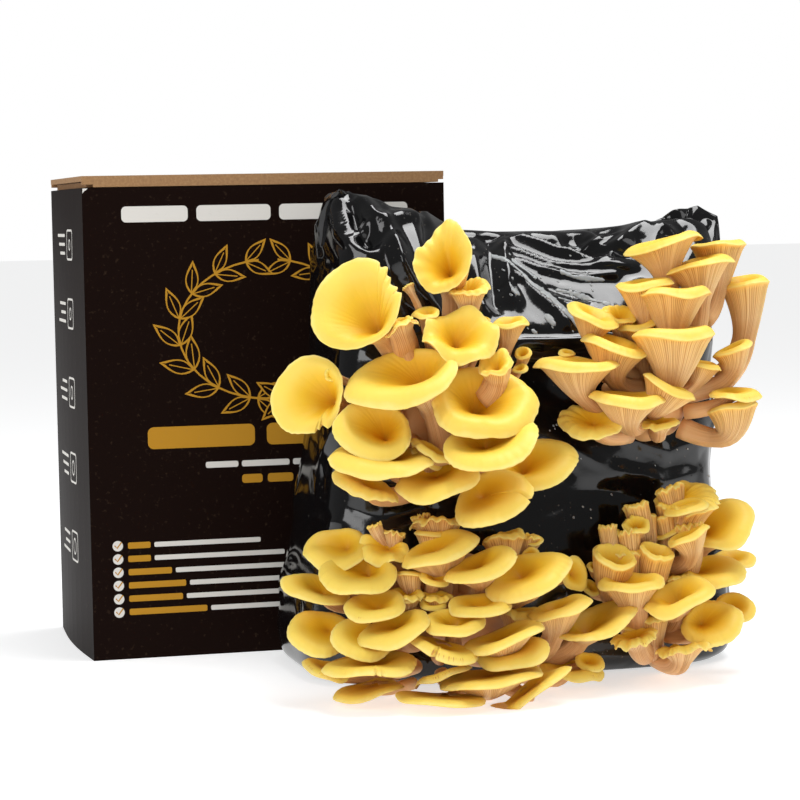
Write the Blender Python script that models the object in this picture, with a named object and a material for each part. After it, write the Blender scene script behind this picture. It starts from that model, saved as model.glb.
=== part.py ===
"""Oyster mushroom grow kit: a closed printed carton, a black film bag of substrate standing in front of it,
and four clusters of golden oyster mushrooms growing out of the bag.

Lengths in the lists are millimetres, measured from the carton's front left bottom corner: x to the right
along the carton's front, y back into the carton (so the bag and the mushrooms are at negative y), z up.
"""

import math

import bmesh
import bpy
from mathutils import Matrix, Vector

MM = 0.001

CARTON_WIDTH = 211.0
CARTON_DEPTH = 136.0
CARTON_HEIGHT = 275.0
BOARD = 3.0
GAP = 0.35
MUSHROOM_GAP = 0.9
SIDE_BOW = 3.0
INNER_FLAP_LENGTH = 66.0
CORNER_SLOT = 6.5
CORNER_SLOT_HEIGHT = 1.8

RING_POINTS = 8
SMALL_RING_POINTS = 6
RIM_EDGE = 1.3

# The middle of the whole kit's footprint, which becomes the origin.
MIDDLE_X = 178.5
MIDDLE_Y = -48.5

COLOURS = {
    "printed_board": (0.022, 0.014, 0.011, 1.0),
    "kraft_board": (0.42, 0.24, 0.12, 1.0),
    "black_film": (0.010, 0.010, 0.011, 1.0),
    "mushroom_flesh": (0.86, 0.55, 0.09, 1.0),
    "mycelium_base": (0.72, 0.42, 0.17, 1.0),
}

# The bag by height: z, left x, right x, front y, back y.
BAG_ROWS = (
    (0.0, 109.0, 334.0, -133.0, -9.0),
    (5.0, 101.0, 342.0, -140.0, -3.0),
    (20.0, 98.0, 346.0, -142.0, -1.0),
    (45.0, 101.0, 344.0, -140.0, -0.8),
    (75.0, 108.0, 340.0, -137.0, -0.8),
    (110.0, 114.0, 337.0, -134.0, -0.8),
    (150.0, 118.0, 337.0, -132.0, -0.8),
    (176.0, 119.0, 340.0, -130.0, -1.5),
    (190.0, 119.0, 343.0, -121.0, -3.0),
    (205.0, 120.0, 347.0, -107.0, -8.0),
    (220.0, 121.0, 351.0, -91.0, -16.0),
    (231.0, 124.0, 353.0, -77.0, -26.0),
    (238.0, 129.0, 350.0, -65.0, -36.0),
    (241.0, 136.0, 344.0, -58.0, -44.0),
)
BAG_POINTS = 24
BAG_SQUARENESS = 4.5

# The folded film corners that stand above the bag, as outlines of (x, z).
LEFT_EAR = ((121.0, 222.0), (119.5, 248.0), (123.0, 257.0), (129.0, 264.0), (135.0, 258.0), (142.0, 260.0),
            (150.0, 250.0), (160.0, 240.0), (176.0, 234.0))
RIGHT_EAR = ((318.0, 234.0), (328.0, 243.0), (336.0, 248.0), (350.0, 251.0), (357.0, 250.0), (360.0, 246.0),
             (359.0, 228.0), (352.0, 212.0))
LEFT_EAR_Y = -68.0
RIGHT_EAR_Y = -52.0
EAR_THICKNESS = 7.0

# Where each cluster grows out of the bag: x, z, half width, half height, how far it stands out.
BASES = {
    "upper_left": (172.0, 136.0, 32.0, 30.0, 26.0),
    "lower_left": (172.0, 44.0, 42.0, 27.0, 38.0),
    "upper_right": (286.0, 148.0, 24.0, 24.0, 22.0),
    "lower_right": (286.0, 46.0, 26.0, 28.0, 26.0),
}

# The mushrooms that are pieces of their own. Each line: cap x, y, z, width, then the cap's tilt towards the
# viewer and its roll to the right in degrees, the length of the flare below the rim, the depth of the funnel,
# how far the stem sits to the back, the stem's radius, and the stem's foot x, y, z.
MUSHROOMS = {
    "upper_left": (
        (120, -152, 205, 50, 62, -28, 26, 15, 0.30, 6.0, 160, -140, 158),
        (93, -152, 157, 44, 62, -38, 24, 14, 0.30, 5.5, 146, -142, 142),
        (136, -176, 169, 64, 23, -13, 30, 16, 0.35, 7.0, 165, -150, 145),
        (121, -182, 142, 43, 42, 7, 26, 15, 0.30, 6.0, 150, -148, 128),
        (124, -186, 129, 56, 11, 5, 18, 7, 0.35, 6.0, 156, -150, 116),
        (119, -176, 114, 38, 9, 24, 15, 5, 0.35, 4.5, 150, -146, 104),
        (152, -190, 117, 45, 20, -7, 18, 6, 0.35, 5.0, 163, -152, 106),
        (182, -188, 106, 47, 27, -20, 18, 6, 0.35, 5.0, 178, -150, 94),
        (178, -202, 136, 54, 24, -12, 20, 8, 0.35, 6.0, 178, -154, 123),
        (179, -190, 156, 60, 37, 7, 28, 16, 0.25, 7.0, 176, -150, 140),
        (208, -180, 121, 45, 13, -22, 20, 9, 0.35, 5.0, 188, -146, 109),
        (171, -172, 188, 43, 38, 5, 26, 14, 0.15, 5.5, 174, -146, 158),
        (169, -146, 221, 30, 48, -4, 36, 20, 0.20, 5.5, 172, -140, 164),
    ),
    "lower_left": (
        (105, -160, 80, 39, 27, -5, 15, 5, 0.35, 4.0, 142, -146, 58),
        (111, -181, 70, 42, 26, -3, 17, 6, 0.35, 4.5, 144, -154, 54),
        (93, -165, 60, 38, 14, 13, 17, 6, 0.35, 4.5, 136, -148, 48),
        (92, -177, 39, 36, 32, 11, 17, 6, 0.35, 4.5, 136, -152, 28),
        (110, -196, 37, 33, 29, 16, 17, 6, 0.35, 4.5, 142, -160, 26),
        (112, -201, 25, 49, 4, -4, 12, 4, 0.35, 4.0, 146, -160, 14),
        (124, -202, 45, 41, 20, -18, 16, 5, 0.35, 4.5, 150, -164, 30),
        (154, -186, 83, 44, 25, -20, 18, 6, 0.30, 4.5, 164, -154, 60),
        (171, -200, 71, 40, 8, -25, 17, 6, 0.30, 4.5, 174, -160, 54),
        (197, -199, 65, 51, 18, -19, 19, 7, 0.35, 5.0, 190, -158, 50),
        (156, -211, 43, 37, 20, 1, 15, 5, 0.35, 4.0, 164, -172, 26),
        (182, -212, 35, 45, -1, -15, 14, 5, 0.35, 4.5, 180, -170, 20),
        (217, -195, 46, 36, 3, -18, 16, 5, 0.35, 4.0, 200, -156, 32),
        (237, -190, 38, 46, -3, -21, 16, 5, 0.40, 4.5, 206, -152, 26),
        (174, -209, 19, 53, -1, -5, 8, 3, 0.35, 4.0, 174, -166, 8),
        (147, -208, 9, 44, -8, 4, 3, 1, 0.35, 3.0, 160, -164, 4),
        (204, -198, 13, 46, 6, -28, 6, 2, 0.35, 4.0, 188, -158, 10),
    ),
    "upper_right": (
        (296, -136, 235, 48, 0, -16, 34, 9, 0.15, 6.0, 296, -142, 166),
        (332, -125, 232, 32, -6, -6, 26, 7, 0.10, 4.5, 300, -136, 166),
        (313, -142, 223, 42, 1, -15, 34, 9, 0.10, 5.5, 300, -146, 164),
        (345, -130, 212, 30, 7, -11, 28, 7, 0.10, 5.0, 303, -138, 158),
        (294, -157, 209, 43, -2, -1, 36, 10, 0.05, 6.0, 288, -152, 162),
        (289, -170, 188, 48, -3, -3, 38, 10, 0.05, 6.0, 286, -154, 154),
        (251, -152, 197, 33, 12, 24, 26, 7, 0.10, 4.5, 276, -146, 160),
        (259, -164, 182, 39, 7, 18, 30, 8, 0.10, 5.0, 278, -150, 154),
        (235, -168, 173, 47, 1, 4, 32, 9, 0.05, 5.5, 272, -150, 146),
        (259, -180, 155, 44, 1, 4, 26, 8, 0.05, 6.0, 276, -152, 140),
        (284, -180, 159, 31, 2, 26, 24, 7, 0.05, 5.0, 282, -154, 146),
        (241, -172, 141, 36, 24, 0, 16, 5, 0.20, 4.5, 270, -148, 130),
        (325, -160, 146, 31, -6, -13, 22, 7, 0.05, 5.0, 300, -148, 134),
    ),
    "lower_right": (
        (299, -162, 101, 35, 33, -17, 18, 6, 0.30, 4.5, 290, -146, 64),
        (316, -166, 84, 41, 35, -24, 20, 7, 0.35, 5.0, 296, -146, 56),
        (310, -172, 59, 38, 18, -3, 18, 6, 0.35, 4.5, 296, -148, 48),
        (303, -186, 33, 35, 36, -16, 18, 7, 0.35, 5.0, 290, -152, 22),
        (279, -197, 51, 41, 13, -19, 22, 7, 0.25, 5.0, 284, -156, 38),
        (256, -191, 60, 35, -1, -1, 24, 7, 0.10, 5.0, 276, -154, 47),
        (255, -192, 24, 25, 18, -11, 12, 4, 0.30, 4.0, 278, -152, 14),
    ),
}

# Smaller mushrooms that are part of their cluster's base, in the same order of values.
SMALL_MUSHROOMS = {
    "upper_left": (
        (203, -155, 194, 22, 10, -7, 22, 7, 0.10, 4.0, 188, -142, 158),
        (141, -160, 196, 16, 6, -9, 12, 4, 0.10, 3.0, 164, -142, 152),
        (194, -166, 173, 16, 64, 1, 12, 4, 0.10, 3.0, 184, -144, 148),
        (151, -180, 127, 19, 24, 38, 14, 4, 0.20, 4.0, 166, -148, 118),
    ),
    "lower_left": (
        (113, -186, 8, 37, -4, -9, 3, 1, 0.30, 3.0, 146, -156, 4),
        (128, -171, 81, 30, 24, 4, 14, 5, 0.30, 4.0, 152, -150, 62),
        (157, -166, 87, 28, 4, -2, 18, 4, 0.10, 3.5, 164, -146, 56),
        (195, -170, 85, 32, 17, -24, 22, 5, 0.10, 3.5, 184, -146, 54),
        (230, -180, 61, 19, 55, 60, 14, 4, 0.20, 3.5, 200, -148, 50),
        (151, -188, 65, 16, 28, 19, 14, 4, 0.10, 3.5, 158, -152, 50),
    ),
    "upper_right": (
        (329, -150, 176, 25, 2, -24, 24, 7, 0.10, 4.5, 303, -142, 150),
        (275, -150, 191, 22, 12, -7, 22, 5, 0.10, 4.0, 283, -142, 158),
        (312, -155, 168, 21, 4, 9, 18, 5, 0.10, 4.0, 296, -142, 150),
        (280, -172, 139, 20, 9, -4, 12, 4, 0.10, 3.5, 286, -148, 130),
    ),
    "lower_right": (
        (251, -178, 71, 24, 10, 13, 20, 9, 0.10, 4.0, 274, -150, 54),
        (291, -181, 80, 25, 0, -25, 22, 7, 0.10, 4.5, 286, -152, 58),
        (275, -182, 73, 19, 14, 20, 20, 6, 0.10, 3.5, 282, -148, 54),
        (266, -172, 85, 15, 32, -3, 18, 6, 0.10, 3.5, 280, -146, 58),
        (283, -186, 22, 22, -9, -6, 10, 4, 0.20, 3.5, 286, -150, 14),
    ),
}


def world(x, y, z):
    """A point in metres from millimetres measured at the carton's corner."""
    return Vector(((x - MIDDLE_X) * MM, (y - MIDDLE_Y) * MM, z * MM))


def clear_scene():
    for obj in list(bpy.data.objects):
        bpy.data.objects.remove(obj, do_unlink=True)


def make_materials():
    made = {}
    for name, colour in COLOURS.items():
        material = bpy.data.materials.new(name)
        material.use_nodes = True
        shader = material.node_tree.nodes["Principled BSDF"]
        shader.inputs["Base Color"].default_value = colour
        shader.inputs["Roughness"].default_value = 0.2 if name == "black_film" else 0.6
        made[name] = material
    return made


def new_object(name, bm, collection, material, smooth=False):
    bmesh.ops.recalc_face_normals(bm, faces=bm.faces)
    mesh = bpy.data.meshes.new(name)
    bm.to_mesh(mesh)
    bm.free()
    mesh.materials.append(material)
    if smooth:
        mesh.shade_smooth()
        mesh.set_sharp_from_angle(angle=math.radians(55.0))
    obj = bpy.data.objects.new(name, mesh)
    collection.objects.link(obj)
    return obj


def add_box(bm, low, high):
    """A box between two corners given in millimetres."""
    made = bmesh.ops.create_cube(bm, size=1.0)["verts"]
    a = world(*low)
    b = world(*high)
    for vert in made:
        for axis in range(3):
            vert.co[axis] = a[axis] + (vert.co[axis] + 0.5) * (b[axis] - a[axis])


def add_loft(bm, rings, start=None, end=None):
    """Faces between rings of equal length, closed at each end by a fan to a point or by one face."""
    rows = [[bm.verts.new(p) for p in ring] for ring in rings]
    count = len(rows[0])
    for lower, upper in zip(rows, rows[1:]):
        for i in range(count):
            j = (i + 1) % count
            bm.faces.new((lower[i], lower[j], upper[j], upper[i]))
    for row, point in ((rows[0], start), (rows[-1], end)):
        if point is None:
            bm.faces.new(row)
            continue
        tip = bm.verts.new(point)
        for i in range(count):
            bm.faces.new((row[i], row[(i + 1) % count], tip))


def move_origin(obj, point):
    """Puts the object's origin at a point and leaves its shape where it is."""
    obj.data.transform(Matrix.Translation(-point))
    obj.location = point


def apply_modifiers(obj):
    graph = bpy.context.evaluated_depsgraph_get()
    mesh = bpy.data.meshes.new_from_object(obj.evaluated_get(graph))
    obj.modifiers.clear()
    old = obj.data
    obj.data = mesh
    bpy.data.meshes.remove(old)


def combine(obj, others, operation, solver="MANIFOLD"):
    """Joins other objects to this one, or cuts them from it. A curled cap can cross itself, which EXACT
    takes badly, so the mushrooms use the other solver."""
    for other in others:
        modifier = obj.modifiers.new(operation.lower(), "BOOLEAN")
        modifier.operation = operation
        modifier.solver = solver
        modifier.object = other
    if others:
        bpy.context.view_layer.update()
        apply_modifiers(obj)


def grown(obj, by):
    """A copy of an object whose surface stands out by this many millimetres."""
    copy = obj.copy()
    copy.data = obj.data.copy()
    bpy.context.scene.collection.objects.link(copy)
    bm = bmesh.new()
    bm.from_mesh(copy.data)
    bmesh.ops.recalc_face_normals(bm, faces=bm.faces)
    bm.normal_update()
    moved = [vert.co + vert.normal * vert.calc_shell_factor() * by * MM for vert in bm.verts]
    for vert, point in zip(bm.verts, moved):
        vert.co = point
    bm.to_mesh(copy.data)
    bm.free()
    return copy


def remove(objects):
    for obj in objects:
        bpy.data.objects.remove(obj, do_unlink=True)


def keep_largest_body(obj):
    """Drops the scraps that a cut leaves beside the main body."""
    bm = bmesh.new()
    bm.from_mesh(obj.data)
    left = set(bm.verts)
    bodies = []
    while left:
        found = {left.pop()}
        edge_of_found = set(found)
        while edge_of_found:
            edge_of_found = {e.other_vert(v) for v in edge_of_found for e in v.link_edges} - found
            found |= edge_of_found
        left -= found
        bodies.append(found)
    if not bodies:
        raise ValueError(obj.name + " was cut away whole")
    sizes = [sum((f.calc_area() for f in {f for v in body for f in v.link_faces}), 0.0) for body in bodies]
    main = bodies[sizes.index(max(sizes))]
    bmesh.ops.delete(bm, geom=[v for v in bm.verts if v not in main], context="VERTS")
    bmesh.ops.recalc_face_normals(bm, faces=bm.faces)
    bm.to_mesh(obj.data)
    bm.free()


def boxes_touch(first, second):
    for axis in range(3):
        a = [v.co[axis] for v in first.data.vertices]
        b = [v.co[axis] for v in second.data.vertices]
        if min(a) > max(b) + 0.001 or min(b) > max(a) + 0.001:
            return False
    return True


def carton_ring(inset, z):
    """The carton's outline at one height, with its left side bowed out a little."""
    low_x = inset
    high_x = CARTON_WIDTH - inset
    low_y = inset
    high_y = CARTON_DEPTH - inset
    bow = SIDE_BOW * max(0.0, 1.0 - z / CARTON_HEIGHT) ** 0.5
    points = [(high_x, low_y), (high_x, high_y), (low_x, high_y)]
    for step in range(1, 6):
        part = step / 6.0
        points.append((low_x - bow * math.sin(math.pi * part), high_y + (low_y - high_y) * part))
    points.append((low_x, low_y))
    return [world(x, y, z) for x, y in points]


def build_carton(collection, materials):
    top = CARTON_HEIGHT - 2.0 * BOARD - 2.0 * GAP
    heights = (0.0, 70.0, 140.0, 210.0, top)
    outside = [carton_ring(0.0, z) for z in heights]
    inside = [carton_ring(BOARD, z) for z in (top, 210.0, 140.0, 70.0, BOARD)]
    bm = bmesh.new()
    add_loft(bm, outside + inside)
    walls = new_object("carton_walls", bm, collection, materials["printed_board"])
    low = top + GAP
    upper = low + BOARD + GAP

    # The side walls stand higher than the front and back ones, level with the inner flaps' upper faces.
    strips = []
    for near, far in ((0.0, BOARD), (CARTON_WIDTH - BOARD, CARTON_WIDTH)):
        bm = bmesh.new()
        add_box(bm, (near, BOARD + 0.4, top - 1.0), (far, CARTON_DEPTH - BOARD - 0.4, low + BOARD))
        strips.append(new_object("strip", bm, collection, materials["printed_board"]))
    combine(walls, strips, "UNION")
    remove(strips)

    half = CARTON_DEPTH / 2.0 - 0.3
    bm = bmesh.new()
    add_box(bm, (BOARD + GAP, BOARD + 1.0, low), (INNER_FLAP_LENGTH, CARTON_DEPTH - BOARD - 1.0, low + BOARD))
    flap = new_object("carton_left_flap", bm, collection, materials["kraft_board"])
    move_origin(flap, world(BOARD + GAP, CARTON_DEPTH / 2.0, low))
    bm = bmesh.new()
    add_box(bm, (CARTON_WIDTH - INNER_FLAP_LENGTH, BOARD + 1.0, low),
            (CARTON_WIDTH - BOARD - GAP, CARTON_DEPTH - BOARD - 1.0, low + BOARD))
    flap = new_object("carton_right_flap", bm, collection, materials["kraft_board"])
    move_origin(flap, world(CARTON_WIDTH - BOARD - GAP, CARTON_DEPTH / 2.0, low))

    for name, hinge_y, seam_y in (("carton_front_flap", 0.0, half),
                                  ("carton_back_flap", CARTON_DEPTH, CARTON_DEPTH - half)):
        inner_y = hinge_y + (BOARD if seam_y > hinge_y else -BOARD)
        if seam_y < hinge_y:
            seam_y += 0.6
        a, b = sorted((hinge_y, seam_y))
        c, d = sorted((hinge_y, inner_y))
        bm = bmesh.new()
        add_box(bm, (0.0, a, upper), (CARTON_WIDTH, b, CARTON_HEIGHT))
        flap = new_object(name, bm, collection, materials["kraft_board"])
        lips = []
        for near, far, under in ((CORNER_SLOT, CARTON_WIDTH - CORNER_SLOT / 2.0, low),
                                 (0.2, CARTON_WIDTH - 0.2, upper - CORNER_SLOT_HEIGHT)):
            bm = bmesh.new()
            add_box(bm, (near, c, under), (far, d, upper + 1.0))
            lips.append(new_object("lip", bm, collection, materials["kraft_board"]))
        combine(flap, lips, "UNION", "EXACT")
        remove(lips)
        move_origin(flap, world(CARTON_WIDTH / 2.0, hinge_y, low))


def bag_ring(row):
    z, left, right, front, back = row
    middle_x = (left + right) / 2.0
    middle_y = (front + back) / 2.0
    points = []
    for i in range(BAG_POINTS):
        angle = 2.0 * math.pi * (i + 0.5) / BAG_POINTS
        c = math.cos(angle)
        s = math.sin(angle)
        power = 2.0 / BAG_SQUARENESS
        x = middle_x + math.copysign(abs(c) ** power, c) * (right - left) / 2.0
        y = middle_y + math.copysign(abs(s) ** power, s) * (back - front) / 2.0
        points.append(world(x, y, z))
    return points


def add_ear(bm, outline, y):
    """A folded film corner: a flat outline with some thickness, thinner at its edge."""
    middle_x = sum(x for x, z in outline) / len(outline)
    middle_z = sum(z for x, z in outline) / len(outline)
    rings = []
    for offset, part in ((-0.5, 0.55), (-0.22, 0.93), (0.22, 1.0), (0.5, 0.6)):
        rings.append([world(middle_x + (x - middle_x) * part, y + offset * EAR_THICKNESS,
                            middle_z + (z - middle_z) * part) for x, z in outline])
    add_loft(bm, rings)


def build_bag(collection, materials):
    bm = bmesh.new()
    add_loft(bm, [bag_ring(row) for row in BAG_ROWS])
    bag = new_object("grow_bag", bm, collection, materials["black_film"], smooth=True)
    ears = []
    for outline, y in ((LEFT_EAR, LEFT_EAR_Y), (RIGHT_EAR, RIGHT_EAR_Y)):
        bm = bmesh.new()
        add_ear(bm, outline, y)
        ears.append(new_object("ear", bm, collection, materials["black_film"]))
    combine(bag, ears, "UNION", "EXACT")
    remove(ears)
    return bag


def cap_directions(tilt, roll, middle, foot):
    """The cap's axis, and the direction in its plane that leads away from the stem's foot."""
    view_yaw = math.radians(14.4)
    toward = Vector((-math.sin(view_yaw), -math.cos(view_yaw), 0.0))
    right = Vector((math.cos(view_yaw), -math.sin(view_yaw), 0.0))
    up = Vector((0.0, 0.0, 1.0))
    leaning = up * math.cos(math.radians(tilt)) + toward * math.sin(math.radians(tilt))
    lift = leaning.dot(up)
    axis = toward * leaning.dot(toward) + (up * math.cos(math.radians(roll))
                                           + right * math.sin(math.radians(roll))) * lift
    axis.normalize()
    away = middle - foot
    away = away - axis * away.dot(axis)
    if away.length < 0.002:
        away = toward - axis * toward.dot(axis)
    away.normalize()
    return axis, away


def mushroom_rings(values, count):
    x, y, z, width, tilt, roll, flare, funnel, back, stem, foot_x, foot_y, foot_z = values
    middle = world(x, y, z)
    foot = world(foot_x, foot_y, foot_z)
    axis, away = cap_directions(tilt, roll, middle, foot)
    across = axis.cross(away)
    radius = width / 2.0 * MM
    neck = middle - away * radius * back
    length = (foot - neck).length
    drop = (neck - foot).dot(axis)
    bend = neck - axis * max(drop * 0.5, flare * MM)

    def circle(centre, size, direction, start):
        side = (start - direction * start.dot(direction)).normalized()
        other = direction.cross(side)
        return [centre + (side * math.cos(2 * math.pi * i / count) + other * math.sin(2 * math.pi * i / count))
                * size for i in range(count)]

    def along(part):
        return neck * (1 - part) ** 2 + bend * 2 * part * (1 - part) + foot * part ** 2

    def heading(part):
        return ((neck - bend) * (1 - part) + (bend - foot) * part).normalized()

    flare_part = min(0.8, flare * MM / max(length, 0.001) * 0.7)
    rings = [circle(middle, radius, axis, across)]
    for step in (0.0, 0.42, 1.0):
        part = step * flare_part
        share = (1.0 - step) ** 1.7
        size = stem * MM + (radius - stem * MM) * share
        centre = along(part) + (middle - neck) * share - axis * RIM_EDGE * MM
        direction = (axis * (1 - step) + heading(part) * step).normalized()
        rings.append(circle(centre, size * (0.98 if step == 0.0 else 1.0), direction, across))
    rings.append(circle(along((1.0 + flare_part) / 2.0), stem * MM, heading((1.0 + flare_part) / 2.0), across))
    rings.append(circle(foot, stem * MM, heading(1.0), across))
    return rings, neck - axis * funnel * MM


def build_mushroom(name, values, count, collection, material):
    bm = bmesh.new()
    rings, bottom = mushroom_rings(values, count)
    add_loft(bm, rings, start=bottom)
    return new_object(name, bm, collection, material, smooth=True)


def build_base(cluster, collection, materials):
    x, z, half_width, half_height, stands_out = BASES[cluster]
    bm = bmesh.new()
    made = bmesh.ops.create_icosphere(bm, subdivisions=2, radius=1.0)["verts"]
    centre = world(x, -134.0, z)
    for vert in made:
        vert.co.x = centre.x + vert.co.x * half_width * MM
        vert.co.y = centre.y + vert.co.y * stands_out * MM
        vert.co.z = centre.z + vert.co.z * half_height * MM
    return new_object(cluster + "_base", bm, collection, materials["mycelium_base"], smooth=True)


def main():
    clear_scene()
    collection = bpy.data.collections.new("oyster_mushroom_grow_kit")
    bpy.context.scene.collection.children.link(collection)
    materials = make_materials()
    build_carton(collection, materials)
    bag = build_bag(collection, materials)
    bag_room = grown(bag, GAP)
    placed = []
    for cluster, values_list in MUSHROOMS.items():
        base = build_base(cluster, collection, materials)
        small = [build_mushroom("small", values, SMALL_RING_POINTS, collection, materials["mushroom_flesh"])
                 for values in SMALL_MUSHROOMS[cluster]]
        combine(base, small, "UNION")
        remove(small)
        base_room = grown(base, MUSHROOM_GAP)
        combine(base, [bag_room] + [other for other in placed if boxes_touch(base, other)], "DIFFERENCE")
        keep_largest_body(base)
        placed.append(base_room)
        for number, values in enumerate(values_list, 1):
            name = "{}_mushroom_{:02d}".format(cluster, number)
            one = build_mushroom(name, values, RING_POINTS, collection, materials["mushroom_flesh"])
            room = grown(one, MUSHROOM_GAP)
            near = [other for other in placed + [bag_room] if boxes_touch(one, other)]
            combine(one, near, "DIFFERENCE")
            keep_largest_body(one)
            placed.append(room)
    remove(placed + [bag_room])


main()
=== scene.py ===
"""Oyster mushroom grow kit: the surfaces, materials, floor, light and camera.

Lengths in the lists are millimetres, measured from the carton's front left bottom corner: x to the right
along the carton's front, y back into the carton (the bag and mushrooms are at negative y), z up.
"""

import math

import bpy
import numpy as np
from bpy.props import FloatProperty, FloatVectorProperty, IntProperty, PointerProperty
from mathutils import Matrix, Vector, geometry

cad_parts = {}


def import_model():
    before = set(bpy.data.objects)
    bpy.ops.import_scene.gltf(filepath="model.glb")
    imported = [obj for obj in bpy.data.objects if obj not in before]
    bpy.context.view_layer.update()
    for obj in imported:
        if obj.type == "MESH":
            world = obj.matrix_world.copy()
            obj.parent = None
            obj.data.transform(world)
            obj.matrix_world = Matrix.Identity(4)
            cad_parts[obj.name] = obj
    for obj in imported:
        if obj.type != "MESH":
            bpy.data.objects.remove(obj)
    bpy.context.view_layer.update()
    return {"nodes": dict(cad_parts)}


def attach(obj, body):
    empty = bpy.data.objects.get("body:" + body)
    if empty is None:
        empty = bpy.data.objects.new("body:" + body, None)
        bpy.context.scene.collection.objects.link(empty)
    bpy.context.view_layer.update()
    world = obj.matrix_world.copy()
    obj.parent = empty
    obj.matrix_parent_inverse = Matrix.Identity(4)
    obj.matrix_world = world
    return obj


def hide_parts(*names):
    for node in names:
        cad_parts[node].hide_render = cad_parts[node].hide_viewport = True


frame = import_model()

bl_info = {
    "name": "Oyster mushroom grow kit",
    "version": (1, 0, 0),
    "blender": (4, 5, 0),
    "location": "3D View > Sidebar > Grow kit",
    "description": "Builds a printed carton, a film bag of substrate and its clusters of oyster mushrooms",
    "category": "Object",
}

MM = 0.001
MIDDLE_X = 178.5
MIDDLE_Y = -48.5


def linear(hex_colour):
    """sRGB hex to the linear values a shader takes."""
    parts = [int(hex_colour[i:i + 2], 16) / 255.0 for i in (1, 3, 5)]
    return tuple(p / 12.92 if p <= 0.04045 else ((p + 0.055) / 1.055) ** 2.4 for p in parts) + (1.0,)


def world(x, y, z):
    return Vector(((x - MIDDLE_X) * MM, (y - MIDDLE_Y) * MM, z * MM))


def world_array(points):
    """An array of millimetre points as metres in the frame."""
    points = np.asarray(points, float)
    return (points - np.array([MIDDLE_X, MIDDLE_Y, 0.0])) * MM


class KitSizes(bpy.types.PropertyGroup):
    carton_width: FloatProperty(name="Carton width", description="Across the printed front", default=0.211,
                                unit="LENGTH")
    carton_depth: FloatProperty(name="Carton depth", description="From the front to the back", default=0.136,
                                unit="LENGTH")
    carton_height: FloatProperty(name="Carton height", description="With its flaps closed", default=0.275,
                                 unit="LENGTH")
    board: FloatProperty(name="Board", description="Thickness of the corrugated board", default=0.003,
                         unit="LENGTH")
    gill_gap: FloatProperty(name="Gill spacing", description="Between gills at the cap's rim", default=0.00145,
                            unit="LENGTH")
    gill_depth: FloatProperty(name="Gill depth", description="How deep the gills are cut", default=0.0005,
                              unit="LENGTH")
    film_dust: FloatProperty(name="Film dust", description="How much dust lies on the film", default=0.5,
                             min=0.0, max=1.0, subtype="FACTOR")
    garland_leaves: IntProperty(name="Leaves", description="Leaves on each printed sprig", default=9, min=3, max=16)


def colour_property(name, description, hex_colour):
    return FloatVectorProperty(name=name, description=description, default=linear(hex_colour), size=4, min=0.0,
                               max=1.0, subtype="COLOR")


class KitColours(bpy.types.PropertyGroup):
    # Painted highlight: the cap rim's pale yellow is partly the thin margin's own colour and partly a painted highlight
    # along the edge.
    cap_rim_and_highlight: colour_property("Cap rim", "Pale yellow edge of a cap", "#F8E082")
    cap_top: colour_property("Cap top", "Yellow of the cap's upper side", "#F2CE55")
    # Painted shade: the funnel's deep gold is partly the cap's own colour and partly painted shade in the hollow.
    cap_funnel_gold_and_shade: colour_property("Cap funnel", "Deep gold inside a cap's funnel", "#DEA51A")
    gills: colour_property("Gills", "Cream of the gills and stems", "#F5D8A8")
    # Painted shade: the tan between the gills stands in for the shade inside the grooves.
    gill_groove_shade: colour_property("Gill grooves", "Tan between the gills", "#CC955A")
    film: colour_property("Film", "Black polythene film", "#0A0A0B")
    print_black: colour_property("Printed black", "Ink over the board", "#170D0A")
    print_gold: colour_property("Printed gold", "Gold ink of the drawing", "#B8862B")
    print_white: colour_property("Printed white", "White ink", "#D9D6D0")
    kraft: colour_property("Kraft", "Bare kraft liner of the board", "#9A744C")
    floor: colour_property("Floor", "Studio floor", "#D2D3D4")


def add_node(tree, kind, settings=None, inputs=None):
    """Adds a node, sets its properties, then its inputs: a value, or the output socket to link from."""
    node = tree.nodes.new(kind)
    for name, value in (settings or {}).items():
        setattr(node, name, value)
    for name, value in (inputs or {}).items():
        socket = node.inputs[name]
        if isinstance(value, bpy.types.NodeSocket):
            tree.links.new(value, socket)
        else:
            socket.default_value = value
    return node


def new_material(name, base, roughness, **sockets):
    """A material with one Principled shader, whose uniform values stand on its own sockets."""
    material = bpy.data.materials.new(name)
    material.use_nodes = True
    tree = material.node_tree
    shader = tree.nodes["Principled BSDF"]
    shader.inputs["Base Color"].default_value = base
    shader.inputs["Roughness"].default_value = roughness
    for socket, value in sockets.items():
        shader.inputs[socket.replace("_", " ")].default_value = value
    return material, tree, shader


def ramp(tree, fac, stops):
    node = add_node(tree, "ShaderNodeValToRGB", None, {"Fac": fac})
    elements = node.color_ramp.elements
    while len(elements) < len(stops):
        elements.new(0.5)
    for element, (position, colour) in zip(elements, stops):
        element.position = position
        element.color = colour
    return node


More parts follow.
